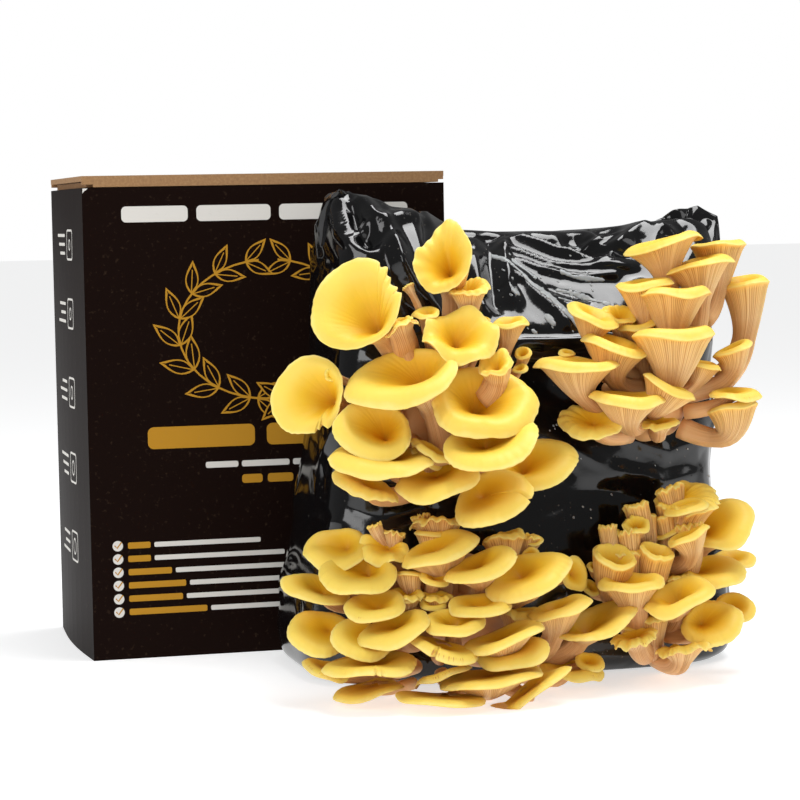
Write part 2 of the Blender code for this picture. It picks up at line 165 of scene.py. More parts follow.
def mushroom_material(colours):
    """Fresh oyster mushroom flesh: satin skin, soft and slightly see-through at the thin rim."""
    material, tree, shader = new_material("fresh_mushroom_flesh", colours.cap_top, 0.46, IOR=1.38,
                                          Specular_IOR_Level=0.36, Subsurface_Weight=0.1,
                                          Subsurface_Scale=0.004)
    shader.inputs["Subsurface Radius"].default_value = (1.0, 0.52, 0.16)
    place = add_node(tree, "ShaderNodeTexCoord").outputs["Object"]
    spread = add_node(tree, "ShaderNodeAttribute", {"attribute_name": "spread"}).outputs["Fac"]
    under = add_node(tree, "ShaderNodeAttribute", {"attribute_name": "underside"}).outputs["Fac"]
    groove = add_node(tree, "ShaderNodeAttribute", {"attribute_name": "groove"}).outputs["Fac"]
    # Blotches about 12 mm across shift the yellow a little, as on a fresh cap.
    blotch = add_node(tree, "ShaderNodeTexNoise", None, {"Vector": place, "Scale": 80.0, "Detail": 3.0})
    shifted = add_node(tree, "ShaderNodeMath", {"operation": "MULTIPLY_ADD"},
                       {0: blotch.outputs["Fac"], 1: 0.16, 2: -0.08})
    level = add_node(tree, "ShaderNodeMath", {"operation": "ADD"}, {0: spread, 1: shifted.outputs[0]})
    # The cap's colour by how far out it lies: darker, deeper gold into the funnel, partly painted shade in the hollow,
    # and paler at the rim, partly a painted highlight on the margin.
    top = ramp(tree, level.outputs[0], ((0.0, linear("#C98A1C")), (0.2, colours.cap_funnel_gold_and_shade),
                                        (0.45, linear("#EDBE30")), (0.7, colours.cap_top),
                                        (0.93, linear("#F5D562")), (1.0, colours.cap_rim_and_highlight)))
    # Painted shade in the grooves between the gills: faint darker radial lines down the stem and gills, about 1 mm
    # apart.
    gills_with_groove_shade = add_node(tree, "ShaderNodeMix", {"data_type": "RGBA"},
                           {"Factor": groove, "A": colours.gills, "B": colours.gill_groove_shade})
    # Painted shade and painted bounce light: the gills and stem turn darker and yellower under the rim, partly the
    # cap's yellow margin and partly shade with yellow light thrown back from the caps.
    gill_tint_and_shade = ramp(tree, spread, ((0.0, linear("#F6E0CC")), (0.25, linear("#FFF6EA")), (0.8, linear("#FFEFC2")),
                                    (1.0, linear("#FFE48A"))))
    tinted = add_node(tree, "ShaderNodeMix", {"data_type": "RGBA", "blend_type": "MULTIPLY"},
                      {"Factor": 1.0, "A": gills_with_groove_shade.outputs["Result"], "B": gill_tint_and_shade.outputs["Color"]})
    both = add_node(tree, "ShaderNodeMix", {"data_type": "RGBA"},
                    {"Factor": under, "A": top.outputs["Color"], "B": tinted.outputs["Result"]})
    tree.links.new(both.outputs["Result"], shader.inputs["Base Color"])
    # Skin grain of about 1 mm, only just showing.
    grain = add_node(tree, "ShaderNodeTexNoise", None, {"Vector": place, "Scale": 900.0, "Detail": 4.0})
    bump = add_node(tree, "ShaderNodeBump", None,
                    {"Height": grain.outputs["Fac"], "Strength": 0.12, "Distance": 0.0006})
    tree.links.new(bump.outputs["Normal"], shader.inputs["Normal"])
    return material


def mesh_piece(name, points, faces, materials, face_materials=None, attributes=None, smooth=True):
    """A mesh object at the origin from points in metres."""
    mesh = bpy.data.meshes.new(name)
    mesh.from_pydata([tuple(p) for p in points], [], [tuple(f) for f in faces])
    for material in materials:
        mesh.materials.append(material)
    if face_materials is not None:
        mesh.polygons.foreach_set("material_index", np.asarray(face_materials, np.int32))
    mesh.polygons.foreach_set("use_smooth", np.full(len(mesh.polygons), smooth))
    for key, values in (attributes or {}).items():
        layer = mesh.attributes.new(key, "FLOAT", "POINT")
        layer.data.foreach_set("value", np.asarray(values, np.float32))
    mesh.update()
    obj = bpy.data.objects.new(name, mesh)
    bpy.context.scene.collection.objects.link(obj)
    return obj


def ring_faces(rows, count, first=0):
    """Quads between rows of points, each row a closed ring of this many."""
    base = np.arange(count)
    nexts = (base + 1) % count
    faces = []
    for row in range(rows - 1):
        a = first + row * count
        b = a + count
        faces.append(np.stack([a + base, a + nexts, b + nexts, b + base], axis=1))
    return np.concatenate(faces)


def cap_frame(tilt, roll, middle, foot):
    """The cap's axis, the direction away from the stem's foot in its plane, and the one across."""
    yaw = math.radians(14.4)
    toward = np.array([-math.sin(yaw), -math.cos(yaw), 0.0])
    right = np.array([math.cos(yaw), -math.sin(yaw), 0.0])
    up = np.array([0.0, 0.0, 1.0])
    t, r = math.radians(tilt), math.radians(roll)
    axis = toward * math.sin(t) + (up * math.cos(r) + right * math.sin(r)) * math.cos(t)
    axis /= np.linalg.norm(axis)
    away = middle - foot
    away = away - axis * away.dot(axis)
    if np.linalg.norm(away) < 2.0:
        away = toward - axis * toward.dot(axis)
    away /= np.linalg.norm(away)
    return axis, away, np.cross(away, axis)


def smooth_noise(angle, rng, low, high, power=1.0):
    """A closed wavy function of the angle, from a few seeded harmonics."""
    total = np.zeros_like(angle)
    for k in range(low, high + 1):
        total += rng.normal() / k ** power * np.sin(k * angle + rng.uniform(0, 2 * math.pi))
    return total / max(1e-6, np.abs(total).max())


TOP_STEPS = (0.05, 0.11, 0.18, 0.26, 0.34, 0.43, 0.52, 0.60, 0.68, 0.76, 0.83, 0.89, 0.94, 0.975, 1.0)
UNDER_STEPS = (0.0, 0.02, 0.05, 0.10, 0.17, 0.25, 0.34, 0.44, 0.55, 0.66, 0.77, 0.88, 1.0)
STEM_STEPS = (0.12, 0.26, 0.42, 0.60, 0.80, 1.0)


def mushroom_arrays(values, seed, sizes):
    """Points in millimetres, faces and attributes of one cap with its stem.

    Angles go round the cap: 0 to its left, 90 away from the stem, 180 to its right and 270 over the stem.
    """
    x, y, z, width, tilt, roll, flare, funnel, back, stem, foot_x, foot_y, foot_z = values[:13]
    form = {"long": 0.92, "lip": min(6.0, width * 0.12), "crest": 0.66, "wave": width * 0.035, "lobes": 0.06,
            "ruffle": 0.0, "bell": 1.6, "turn": 0.0, "saddle": 0.0, "tears": (), "rise": 0.0, "back_rim": 0.0,
            "ragged": 0.013, "curl": 0.0}
    form.update(values[13] if len(values) > 13 else {})
    rng = np.random.default_rng(seed)
    middle = np.array([x, y, z], float)
    foot = np.array([foot_x, foot_y, foot_z], float)
    axis, away, across = cap_frame(tilt, roll, middle, foot)
    if form["turn"]:
        a = math.radians(form["turn"])
        away, across = away * math.cos(a) + across * math.sin(a), across * math.cos(a) - away * math.sin(a)
    radius = width / 2.0
    gills = int(np.clip(math.pi * width * MM / sizes.gill_gap, 30, 112))
    count = gills * 2
    # The gills stand unevenly, and some are deeper than others.
    angle = (np.arange(count) + rng.uniform(-0.3, 0.3, count)) * 2 * math.pi / count
    edge = 1.0 + form["lobes"] * smooth_noise(angle, rng, 2, 5, 1.0) + form["ragged"] * smooth_noise(angle, rng, 9, 36, 0.3)
    for where, depth, half in form["tears"]:
        gap = np.abs((np.degrees(angle) - where + 180.0) % 360.0 - 180.0)
        edge *= 1.0 - depth * np.clip(1.0 - gap / half, 0.0, 1.0) ** 0.7
    front = 0.5 + 0.5 * np.sin(angle)
    wave = form["wave"] * smooth_noise(angle, rng, 2, 5, 1.0) + form["ruffle"] * smooth_noise(angle, rng, 7, 15, 0.3)
    wave += form["back_rim"] * (1.0 - front) ** 2
    lip = form["lip"] * (0.4 + 0.6 * front)
    rim_u = radius * np.cos(angle) * edge
    rim_v = radius * form["long"] * np.sin(angle) * edge
    attach_v = -back * radius * form["long"]
    neck = middle + away * attach_v

    def lift(share, u, v):
        """How far the skin rises from the cap's plane, at a share of the way out to the rim."""
        margin = np.clip((share - form["crest"]) / (1.0 - form["crest"]), 0.0, 1.0)
        return (wave * share ** 2.5 - lip * margin ** 2.0 + form["saddle"] * (u / radius) ** 2
                + form["curl"] * (v / radius) ** 2 + form["rise"] * (v / radius) * share)

    def draw_in(share):
        """The rolled margin pulls its edge back in a little."""
        margin = np.clip((share - form["crest"]) / (1.0 - form["crest"]), 0.0, 1.0)
        return 1.0 - 0.05 * margin ** 3 * lip / 5.0

    thick = 0.6
    rows, spread, underside, groove = [], [], [], []
    for f in TOP_STEPS + (1.0,):
        last = len(rows) == len(TOP_STEPS)
        pull = draw_in(f)
        u = rim_u * f * pull
        v = attach_v + (rim_v - attach_v) * f * pull
        inner = np.clip(1.0 - f / (form["crest"] + 0.16), 0.0, 1.0)
        height = lift(f, u, v) - funnel * inner ** form["bell"] - (thick * 0.5 if last else 0.0)
        if last:
            u = u * (1.0 + thick * 0.4 / radius)
            v = v * (1.0 + thick * 0.4 / radius)
        rows.append(middle + across * u[:, None] + away * v[:, None] + axis * height[:, None])
        spread.append(np.full(count, f))
        underside.append(np.full(count, 0.1 if last else 0.0))
        groove.append(np.zeros(count))

    drop = (neck - foot).dot(axis)
    bend = neck - axis * max(drop * 0.5, flare)
    length = np.linalg.norm(foot - neck)
    flare_part = min(0.8, flare / max(length, 1.0) * 0.7)

    def along(part):
        return neck * (1 - part) ** 2 + bend * 2 * part * (1 - part) + foot * part ** 2

    def heading(part):
        way = (neck - bend) * (1 - part) + (bend - foot) * part
        return way / max(np.linalg.norm(way), 1e-6)

    bulge = 1.0 + 0.08 * smooth_noise(angle, rng, 2, 4, 1.0)
    for step in UNDER_STEPS:
        share = (1.0 - step) ** form["bell"]
        part = step * flare_part
        direction = axis * (1 - step) + heading(part) * step
        direction /= np.linalg.norm(direction)
        side = across - direction * across.dot(direction)
        side /= np.linalg.norm(side)
        other = np.cross(direction, side)
        pull = draw_in(share)
        u = rim_u * share * pull + stem * np.cos(angle) * (1 - share) * bulge
        v = (rim_v - attach_v) * share * pull + stem * np.sin(angle) * (1 - share) * bulge
        height = lift(share, rim_u * share, attach_v + (rim_v - attach_v) * share) - thick * 1.2
        rows.append(along(part) + side * u[:, None] + other * v[:, None]
                    + axis * (height * (1 - step) + height * share * step)[:, None])
        spread.append(np.full(count, share))
        underside.append(np.full(count, 0.6 if step == 0.0 else 1.0))
        groove.append(np.full(count, np.clip((step - 0.01) / 0.10, 0, 1)))
    for step in STEM_STEPS:
        part = flare_part + (1.0 - flare_part) * step
        direction = heading(part)
        side = across - direction * across.dot(direction)
        side /= np.linalg.norm(side)
        other = np.cross(direction, side)
        size = stem * bulge * (1.0 + 0.18 * step)
        rows.append(along(part) + side * (size * np.cos(angle))[:, None] + other * (size * np.sin(angle))[:, None])
        spread.append(np.zeros(count))
        underside.append(np.ones(count))
        # The grooves fade down the stem, cut less deep and with less painted shade.
        groove.append(np.full(count, max(0.12, 0.85 - 0.8 * step)))
    rows = np.array(rows)

    # The gills: every second line of points sinks into the flesh along the surface's own normal.
    first = len(TOP_STEPS) + 1
    cut = (np.arange(count) % 2) * rng.uniform(0.45, 1.5, count)
    groove = np.array(groove) * cut[None, :]
    normal = np.cross(np.roll(rows, -1, axis=1) - np.roll(rows, 1, axis=1), np.gradient(rows, axis=0))
    normal /= np.maximum(np.linalg.norm(normal, axis=2, keepdims=True), 1e-9)
    outward = rows[first:] - rows[first:].mean(axis=1, keepdims=True)
    if (normal[first:] * outward).sum() < 0:
        normal = -normal
    size = np.linalg.norm(rows - rows.mean(axis=1, keepdims=True), axis=2).mean(axis=1) / radius
    depth = sizes.gill_depth / MM * groove * np.clip(0.25 + size, 0.0, 1.0)[:, None]
    depth[:first] = 0.0
    rows = rows - normal * depth[:, :, None]
    # A cap that reaches the table rests on it.
    rows[:, :, 2] = np.maximum(rows[:, :, 2], 0.4)

    points = rows.reshape(-1, 3)
    bottom = neck + axis * (lift(0.0, 0.0, 0.0).mean() - funnel)
    end = rows[-1].mean(axis=0)
    points = np.concatenate([points, [bottom], [end]])
    total = len(rows) * count
    base = np.arange(count)
    quads = ring_faces(len(rows), count)[:, ::-1]
    last = (len(rows) - 1) * count
    top_fan = np.stack([np.full(count, total), base, (base + 1) % count], axis=1)
    end_fan = np.stack([np.full(count, total + 1), last + (base + 1) % count, last + base], axis=1)
    quad = points[quads[7 * count]]
    if np.cross(quad[1] - quad[0], quad[2] - quad[1]).dot(axis) < 0:
        quads, top_fan, end_fan = quads[:, ::-1], top_fan[:, ::-1], end_fan[:, ::-1]
    faces = [tuple(f) for part in (quads, top_fan, end_fan) for f in part.tolist()]
    attributes = {
        "spread": np.concatenate([np.array(spread).ravel(), [0.0, 0.0]]),
        "underside": np.concatenate([np.array(underside).ravel(), [0.0, 1.0]]),
        "groove": np.concatenate([np.clip(groove, 0.0, 1.0).ravel(), [0.0, 0.0]]),
    }
    return points, faces, attributes


def joined_arrays(parts):
    points, faces, attributes = [], [], {}
    offset = 0
    for more_points, more_faces, more_attributes in parts:
        points.append(more_points)
        faces += [tuple(i + offset for i in face) for face in more_faces]
        for key, values in more_attributes.items():
            attributes.setdefault(key, []).append(values)
        offset += len(more_points)
    return np.concatenate(points), faces, {k: np.concatenate(v) for k, v in attributes.items()}


# Each line: cap x, y, z, width, its tilt towards the viewer and roll to the right in degrees, the flare's
# length, the funnel's depth, how far back the stem joins, the stem's radius, the stem's foot x, y, z, then
# what makes this cap its own.
MUSHROOMS = {
    "upper_left": (
        (120, -152, 205, 51, 60, -28, 26, 15, 0.60, 6.0, 160, -140, 158,
         {"long": 1.0, "lip": 2.0, "tears": ((350, 0.2, 13), (4, 0.13, 5), (334, 0.12, 5), (17, 0.09, 4))}),
        (93, -152, 158, 45, 62, -38, 24, 14, 0.60, 5.5, 146, -142, 142,
         {"long": 0.88, "lip": 2.0, "tears": ((215, 0.2, 6), (206, 0.12, 4))}),
        (136, -176, 169, 64, 23, -13, 30, 20, 0.60, 7.0, 165, -150, 145, {"lip": 6.0, "wave": 2.0}),
        (121, -182, 142, 43, 42, 7, 26, 18, 0.55, 6.0, 150, -148, 128, {"lip": 4.0}),
        (124, -186, 129, 56, 11, 5, 18, 7, 0.45, 6.0, 156, -150, 116, {"ruffle": 0.5}),
        (119, -176, 114, 38, 9, 24, 15, 5, 0.35, 4.5, 150, -146, 104, {"ruffle": 0.9}),
        (152, -190, 117, 45, 20, -7, 18, 6, 0.45, 5.0, 163, -152, 106, {}),
        (182, -188, 106, 47, 27, -20, 18, 6, 0.45, 5.0, 178, -150, 94, {"tears": ((118, 0.26, 4),)}),
        (178, -202, 136, 54, 24, -12, 20, 12, 0.45, 6.0, 178, -154, 123, {"lip": 4.0}),
        (179, -190, 156, 60, 37, 7, 28, 20, 0.30, 7.0, 176, -150, 140,
         {"lip": 7.0, "ruffle": 0.5, "wave": 2.5}),
        (209, -180, 122, 38, 36, -20, 20, 13, 0.50, 5.0, 188, -146, 110, {"long": 1.2, "lip": 5.0}),
        (171, -172, 188, 43, 38, 5, 26, 14, 0.20, 5.5, 174, -146, 158,
         {"wave": 4.5, "lip": 3.0, "saddle": 3.0, "lobes": 0.12}),
        (170, -150, 227, 30, 60, -30, 36, 15, 0.20, 5.5, 172, -140, 164,
         {"wave": 3.0, "lobes": 0.14, "long": 1.35, "saddle": 6.0, "lip": 1.0, "ruffle": 1.2}),
    ),
    "lower_left": (
        (105, -160, 80, 39, 27, -5, 20, 5, 0.35, 4.0, 142, -146, 58, {"wave": 2.0}),
        (111, -181, 70, 42, 26, -3, 22, 10, 0.45, 4.5, 144, -154, 54, {"lip": 5.0}),
        (93, -165, 60, 38, 14, 13, 17, 6, 0.35, 4.5, 136, -148, 48, {"wave": 1.0, "lip": 3.0}),
        (92, -177, 39, 36, 32, 11, 17, 3, 0.35, 4.5, 136, -152, 28, {"crest": 0.72}),
        (110, -196, 37, 33, 29, 16, 17, 3, 0.35, 4.5, 142, -160, 26, {"crest": 0.72}),
        (112, -201, 25, 49, 4, -4, 12, 4, 0.35, 4.0, 146, -160, 14,
         {"tears": ((122, 0.16, 2.5), (130, 0.1, 2)), "lip": 3.5, "crest": 0.76}),
        (124, -202, 43, 40, 12, -18, 22, 5, 0.35, 4.5, 150, -164, 30, {}),
        (153, -186, 81, 43, 10, -20, 30, 6, 0.30, 5.0, 160, -154, 48, {}),
        (171, -200, 73, 39, 12, -20, 24, 6, 0.30, 5.0, 174, -160, 54, {}),
        (197, -199, 67, 49, 18, -17, 28, 7, 0.35, 5.5, 190, -158, 50, {}),
        (154, -211, 46, 33, 14, 1, 20, 9, 0.35, 4.0, 164, -172, 26, {}),
        (180, -212, 37, 44, 2, -17, 22, 5, 0.35, 5.0, 180, -170, 20, {"lip": 3.5, "crest": 0.76}),
        (215, -195, 48, 37, 2, -17, 28, 5, 0.35, 5.5, 200, -156, 12, {"lip": 4.0}),
        (237, -190, 39, 49, 9, -18, 21, 9, 0.40, 6.0, 200, -156, 12,
         {"bell": 1.4, "lip": 3.5, "crest": 0.78}),
        (172, -214, 17, 52, 1, -7, 17, 3, 0.35, 5.0, 177, -182, 6,
         {"lip": 3.0, "crest": 0.76, "bell": 1.3}),
        (146, -212, 7, 47, -4, 4, 7, 1, 0.35, 3.0, 168, -176, 4, {"lip": 2.5, "crest": 0.78}),
        (191, -216, 8, 50, 2, -33, 12, 2, 0.35, 4.0, 188, -158, 5,
         {"long": 0.55, "lip": 3.5, "crest": 0.72}),
    ),
    "upper_right": (
        (296, -136, 235, 48, 0, -16, 34, 9, 0.15, 6.0, 296, -142, 166, {}),
        (332, -125, 232, 32, -6, -6, 34, 7, 0.10, 5.5, 320, -132, 190, {}),
        (313, -142, 223, 42, 1, -15, 34, 9, 0.10, 5.5, 300, -146, 164, {}),
        (345, -130, 212, 30, 7, -11, 40, 7, 0.10, 6.5, 331, -134, 158, {}),
        (294, -157, 209, 43, -2, -1, 36, 10, 0.05, 6.0, 288, -152, 162, {}),
        (289, -170, 188, 48, -3, -3, 38, 10, 0.05, 6.0, 286, -154, 154, {}),
        (251, -152, 197, 33, 12, 24, 26, 7, 0.10, 4.5, 276, -146, 160, {}),
        (259, -164, 182, 39, 7, 18, 30, 8, 0.10, 5.0, 278, -150, 154, {}),
        (235, -168, 173, 47, 1, 4, 32, 9, 0.05, 5.5, 272, -150, 146, {}),
        (259, -180, 155, 44, 1, 4, 26, 8, 0.05, 6.0, 276, -152, 140, {}),
        (284, -180, 159, 31, 2, 26, 24, 7, 0.05, 5.0, 282, -154, 146, {}),
        (241, -172, 141, 36, 24, 0, 16, 5, 0.20, 4.5, 270, -148, 130, {"ruffle": 0.8, "lip": 2.5}),
        (325, -160, 146, 31, -6, -13, 30, 7, 0.05, 5.0, 303, -142, 132, {"ragged": 0.03}),
    ),
    "lower_right": (
        (299, -162, 98, 35, 22, -12, 34, 6, 0.60, 7.0, 290, -146, 64,
         {"ragged": 0.06, "ruffle": 1.5, "long": 1.0, "lobes": 0.1}),
        (316, -166, 84, 41, 35, -24, 20, 7, 0.60, 5.0, 296, -146, 56, {}),
        (310, -172, 59, 38, 18, -3, 18, 6, 0.60, 4.5, 296, -148, 48, {}),
        (303, -186, 33, 35, 36, -16, 18, 7, 0.50, 5.0, 290, -152, 22, {"ragged": 0.03}),
        (279, -197, 51, 41, 13, -19, 22, 12, 0.25, 5.0, 284, -156, 38, {}),
        (256, -191, 59, 35, 6, -2, 26, 7, 0.10, 7.0, 272, -156, 20, {"bell": 1.25}),
        (257, -192, 29, 25, 8, -10, 16, 4, 0.30, 6.0, 278, -152, 14,
         {"ragged": 0.07, "ruffle": 1.5, "lobes": 0.14}),
    ),
}

# The small mushrooms on each cluster's base, in the same order of values.
SMALL_MUSHROOMS = {
    "upper_left": (
        (203, -155, 194, 22, 10, -7, 22, 7, 0.10, 4.0, 188, -142, 158, {}),
        (141, -160, 196, 16, 6, -9, 16, 4, 0.10, 3.0, 164, -142, 152, {"ruffle": 1.0, "lobes": 0.12}),
        (186, -184, 174, 20, 34, -24, 15, 7, 0.10, 6.5, 184, -170, 154,
         {"ruffle": 0.8, "lobes": 0.14, "wave": 1.5, "bell": 1.2}),
        (151, -180, 127, 19, 24, 38, 14, 4, 0.20, 4.0, 166, -148, 118, {}),
        (150, -146, 213, 7, -17, -34, 10, 3, 0.20, 2.0, 162, -146, 170, {"ruffle": 0.5}),
        (157, -156, 200, 16, 19, -1, 12, 4, 0.20, 3.0, 165, -146, 164, {}),
        (141, -160, 193, 22, -6, -24, 9, 5, 0.20, 7.0, 150, -140, 176,
         {"ruffle": 1.2, "lobes": 0.16, "wave": 2.5}),
        (177, -158, 193, 7, 47, -11, 7, 2, 0.20, 1.8, 174, -146, 162, {}),
        (183, -157, 194, 5, 51, -18, 7, 2, 0.20, 1.6, 177, -146, 162, {}),
        (189, -156, 195, 6, 26, -2, 8, 2, 0.20, 1.8, 180, -146, 163, {}),
        (209, -158, 177, 10, 36, -18, 16, 5, 0.20, 2.6, 189, -146, 154, {}),
        (206, -162, 169, 9, 26, -17, 8, 3, 0.20, 2.0, 187, -146, 151, {}),
        (106, -154, 168, 7, 85, -3, 8, 3, 0.20, 2.0, 143, -146, 150, {"ruffle": 0.4}),
        (182, -152, 213, 25, 16, -13, 24, 8, 0.20, 4.5, 176, -146, 170,
         {"ruffle": 0.9, "wave": 1.5, "lobes": 0.12}),
        (150, -176, 164, 29, -2, -22, 24, 5, 0.20, 6.0, 166, -150, 122, {"wave": 1.5, "bell": 1.2}),
        (153, -182, 130, 26, 4, 30, 18, 4, 0.20, 5.0, 168, -150, 112, {"ruffle": 0.6}),
    ),
    "lower_left": (
        (114, -186, 9, 39, 2, -9, 6, 1, 0.30, 3.0, 146, -156, 4, {"lip": 2.5, "crest": 0.78}),
        (128, -171, 80, 28, 30, 4, 18, 5, 0.30, 5.0, 152, -150, 62, {"ruffle": 1.2, "wave": 2.0}),
        (155, -166, 86, 18, 0, 0, 22, 4, 0.10, 4.5, 164, -146, 56, {}),
        (193, -170, 83, 24, -4, -12, 30, 5, 0.10, 4.5, 184, -146, 54,
         {"ruffle": 0.8, "lobes": 0.12, "wave": 2.0}),
        (230, -180, 61, 19, 55, 60, 14, 4, 0.20, 3.5, 200, -148, 50, {}),
        (151, -188, 65, 16, 28, 19, 14, 4, 0.10, 3.5, 158, -152, 50, {}),
        (95, -180, 20, 27, 6, 20, 9, 3, 0.20, 3.5, 137, -158, 10, {}),
        (117, -193, 54, 34, 17, -6, 14, 7, 0.20, 4.0, 147, -158, 39, {}),
        (170, -204, 53, 34, 10, -1, 14, 5, 0.20, 4.0, 171, -158, 38, {}),
        (149, -212, 33, 37, 2, 17, 12, 4, 0.20, 4.0, 161, -158, 20, {"tears": ((75, 0.3, 5),)}),
        (185, -208, 29, 42, 11, -9, 11, 4, 0.20, 4.0, 178, -158, 16, {}),
        (149, -205, 18, 31, -12, -18, 9, 3, 0.20, 3.5, 162, -158, 8, {}),
        (235, -186, 16, 17, 27, 12, 8, 3, 0.20, 3.0, 200, -158, 7, {}),
        (159, -162, 91, 27, -14, 1, 20, 4, 0.20, 5.0, 175, -146, 64,
         {"ruffle": 1.6, "ragged": 0.06, "wave": 2.0}),
        (152, -156, 93, 10, -10, -14, 18, 3, 0.20, 3.5, 163, -146, 65, {"ruffle": 1.4, "ragged": 0.08}),
        (136, -184, 57, 19, 13, 1, 12, 5, 0.20, 3.5, 156, -158, 45, {}),
        (149, -190, 52, 14, 27, -1, 10, 4, 0.20, 3.0, 162, -158, 42, {}),
        (139, -180, 67, 16, -6, 2, 20, 4, 0.20, 4.0, 157, -158, 54, {}),
        (205, -178, 72, 10, 46, -33, 12, 4, 0.20, 2.6, 187, -158, 57, {}),
        (210, -170, 79, 10, 27, -6, 14, 4, 0.20, 2.6, 189, -146, 60, {}),
        (125, -164, 90, 8, -12, -16, 16, 4, 0.20, 3.5, 151, -146, 64, {"ruffle": 1.4, "ragged": 0.08}),
        (135, -166, 86, 12, -12, 12, 16, 4, 0.20, 3.5, 157, -146, 62, {"ruffle": 1.4, "ragged": 0.08}),
        (209, -168, 81, 12, 0, 4, 20, 4, 0.20, 3.5, 190, -146, 60, {"ragged": 0.05, "ruffle": 1.0}),
        (136, -184, 56, 20, 2, 0, 18, 4, 0.20, 4.0, 150, -156, 36, {"ruffle": 0.8}),
        (152, -186, 55, 17, 6, 0, 18, 4, 0.20, 4.0, 160, -156, 34, {"ruffle": 0.8}),
        (225, -184, 13, 37, 4, 4, 12, 4, 0.20, 4.5, 206, -156, 6, {"wave": 2.0}),
        (202, -178, 44, 30, -2, 5, 26, 5, 0.20, 5.0, 192, -150, 18, {"ruffle": 0.8, "wave": 2.0}),
    ),
    "upper_right": (
        (329, -150, 176, 25, 2, -24, 24, 7, 0.10, 4.5, 303, -142, 150, {}),
        (275, -150, 191, 22, 12, -7, 22, 5, 0.10, 4.0, 283, -142, 158, {}),
        (312, -155, 168, 21, 4, 9, 18, 5, 0.10, 4.0, 296, -142, 150, {}),
        (280, -172, 139, 20, 9, -4, 12, 4, 0.10, 3.5, 286, -148, 130, {"ruffle": 0.8}),
        (280, -150, 213, 33, 2, -6, 30, 8, 0.20, 4.5, 283, -146, 176, {}),
        (267, -146, 196, 21, 30, 10, 18, 5, 0.20, 3.5, 277, -146, 169, {"ruffle": 1.0, "lobes": 0.1}),
        (236, -150, 176, 10, 15, 5, 12, 3, 0.20, 2.5, 263, -146, 160, {}),
        (326, -164, 153, 31, 5, -1, 10, 3, 0.20, 3.5, 304, -146, 141, {}),
        (257, -160, 140, 11, 19, 3, 10, 3, 0.20, 2.5, 273, -146, 131, {}),
    ),
    "lower_right": (
        (251, -182, 71, 25, 22, 14, 30, 14, 0.10, 8.0, 268, -156, 40, {"bell": 1.0, "ruffle": 0.5}),
        (291, -181, 80, 25, 0, -25, 22, 7, 0.10, 4.5, 286, -152, 58, {}),
        (275, -180, 72, 19, 18, 14, 32, 12, 0.10, 8.0, 284, -156, 40, {"bell": 1.0, "ruffle": 0.5}),
        (266, -172, 85, 15, 32, -3, 18, 6, 0.10, 3.5, 280, -146, 58, {"ruffle": 0.8}),
        (286, -186, 21, 31, -8, -8, 16, 4, 0.20, 6.0, 286, -150, 9,
         {"ragged": 0.08, "ruffle": 1.8, "lobes": 0.16}),
        (330, -150, 62, 26, 14, -3, 12, 5, 0.20, 4.0, 306, -146, 48, {}),
        (327, -158, 36, 24, 36, -11, 12, 5, 0.20, 4.0, 304, -146, 24, {}),
        (286, -160, 87, 13, -10, -14, 28, 6, 0.20, 5.0, 281, -146, 66,
         {"ragged": 0.1, "ruffle": 2.0, "lobes": 0.2}),
        (275, -158, 87, 12, -14, -10, 26, 4, 0.20, 5.0, 277, -146, 65,
         {"ragged": 0.1, "ruffle": 2.0, "lobes": 0.2}),
        (290, -156, 102, 16, -6, -20, 26, 4, 0.20, 5.0, 285, -146, 68,
         {"ragged": 0.12, "ruffle": 2.0, "lobes": 0.2}),
        (251, -168, 84, 9, -12, -4, 26, 4, 0.20, 4.5, 269, -146, 61,
         {"ragged": 0.12, "ruffle": 2.0, "lobes": 0.2}),
        (262, -168, 81, 15, -14, -6, 26, 5, 0.20, 5.0, 272, -146, 62,
         {"ragged": 0.1, "ruffle": 2.0, "lobes": 0.2}),
        (286, -162, 80, 16, 18, -31, 16, 6, 0.20, 3.0, 286, -146, 61, {}),
        (243, -170, 63, 8, 29, 16, 12, 4, 0.20, 2.6, 267, -146, 52, {}),
        (242, -168, 52, 11, 39, 25, 10, 4, 0.20, 3.0, 266, -146, 43, {}),
        (260, -178, 32, 14, 9, 10, 14, 4, 0.20, 3.5, 274, -158, 18, {}),
        (294, -172, 94, 25, 8, -14, 14, 5, 0.20, 4.0, 290, -146, 67, {}),
        (270, -160, 94, 14, -12, -16, 28, 4, 0.20, 5.0, 276, -146, 70,
         {"ragged": 0.1, "ruffle": 2.0, "lobes": 0.2}),
        (297, -166, 83, 16, -8, -12, 34, 4, 0.20, 6.0, 292, -146, 50,
         {"ragged": 0.08, "ruffle": 1.5, "lobes": 0.16}),
        (261, -170, 70, 18, -10, -4, 30, 4, 0.20, 6.0, 276, -146, 40, {"ragged": 0.08, "ruffle": 1.5}),
        (288, -172, 56, 20, -6, -8, 30, 4, 0.20, 7.0, 288, -146, 30, {"ragged": 0.05, "ruffle": 1.2}),
        (270, -176, 36, 23, -4, -4, 24, 4, 0.20, 7.0, 280, -150, 16, {"ragged": 0.06, "ruffle": 1.2}),
    ),
}

# Where each cluster grows out of the bag: x, z, half width, half height, how far it stands out.
BASES = {
    "upper_left": (172.0, 136.0, 32.0, 30.0, 26.0),
    "lower_left": (172.0, 44.0, 42.0, 27.0, 38.0),
    "upper_right": (286.0, 148.0, 24.0, 24.0, 22.0),
    "lower_right": (286.0, 46.0, 26.0, 28.0, 26.0),
}


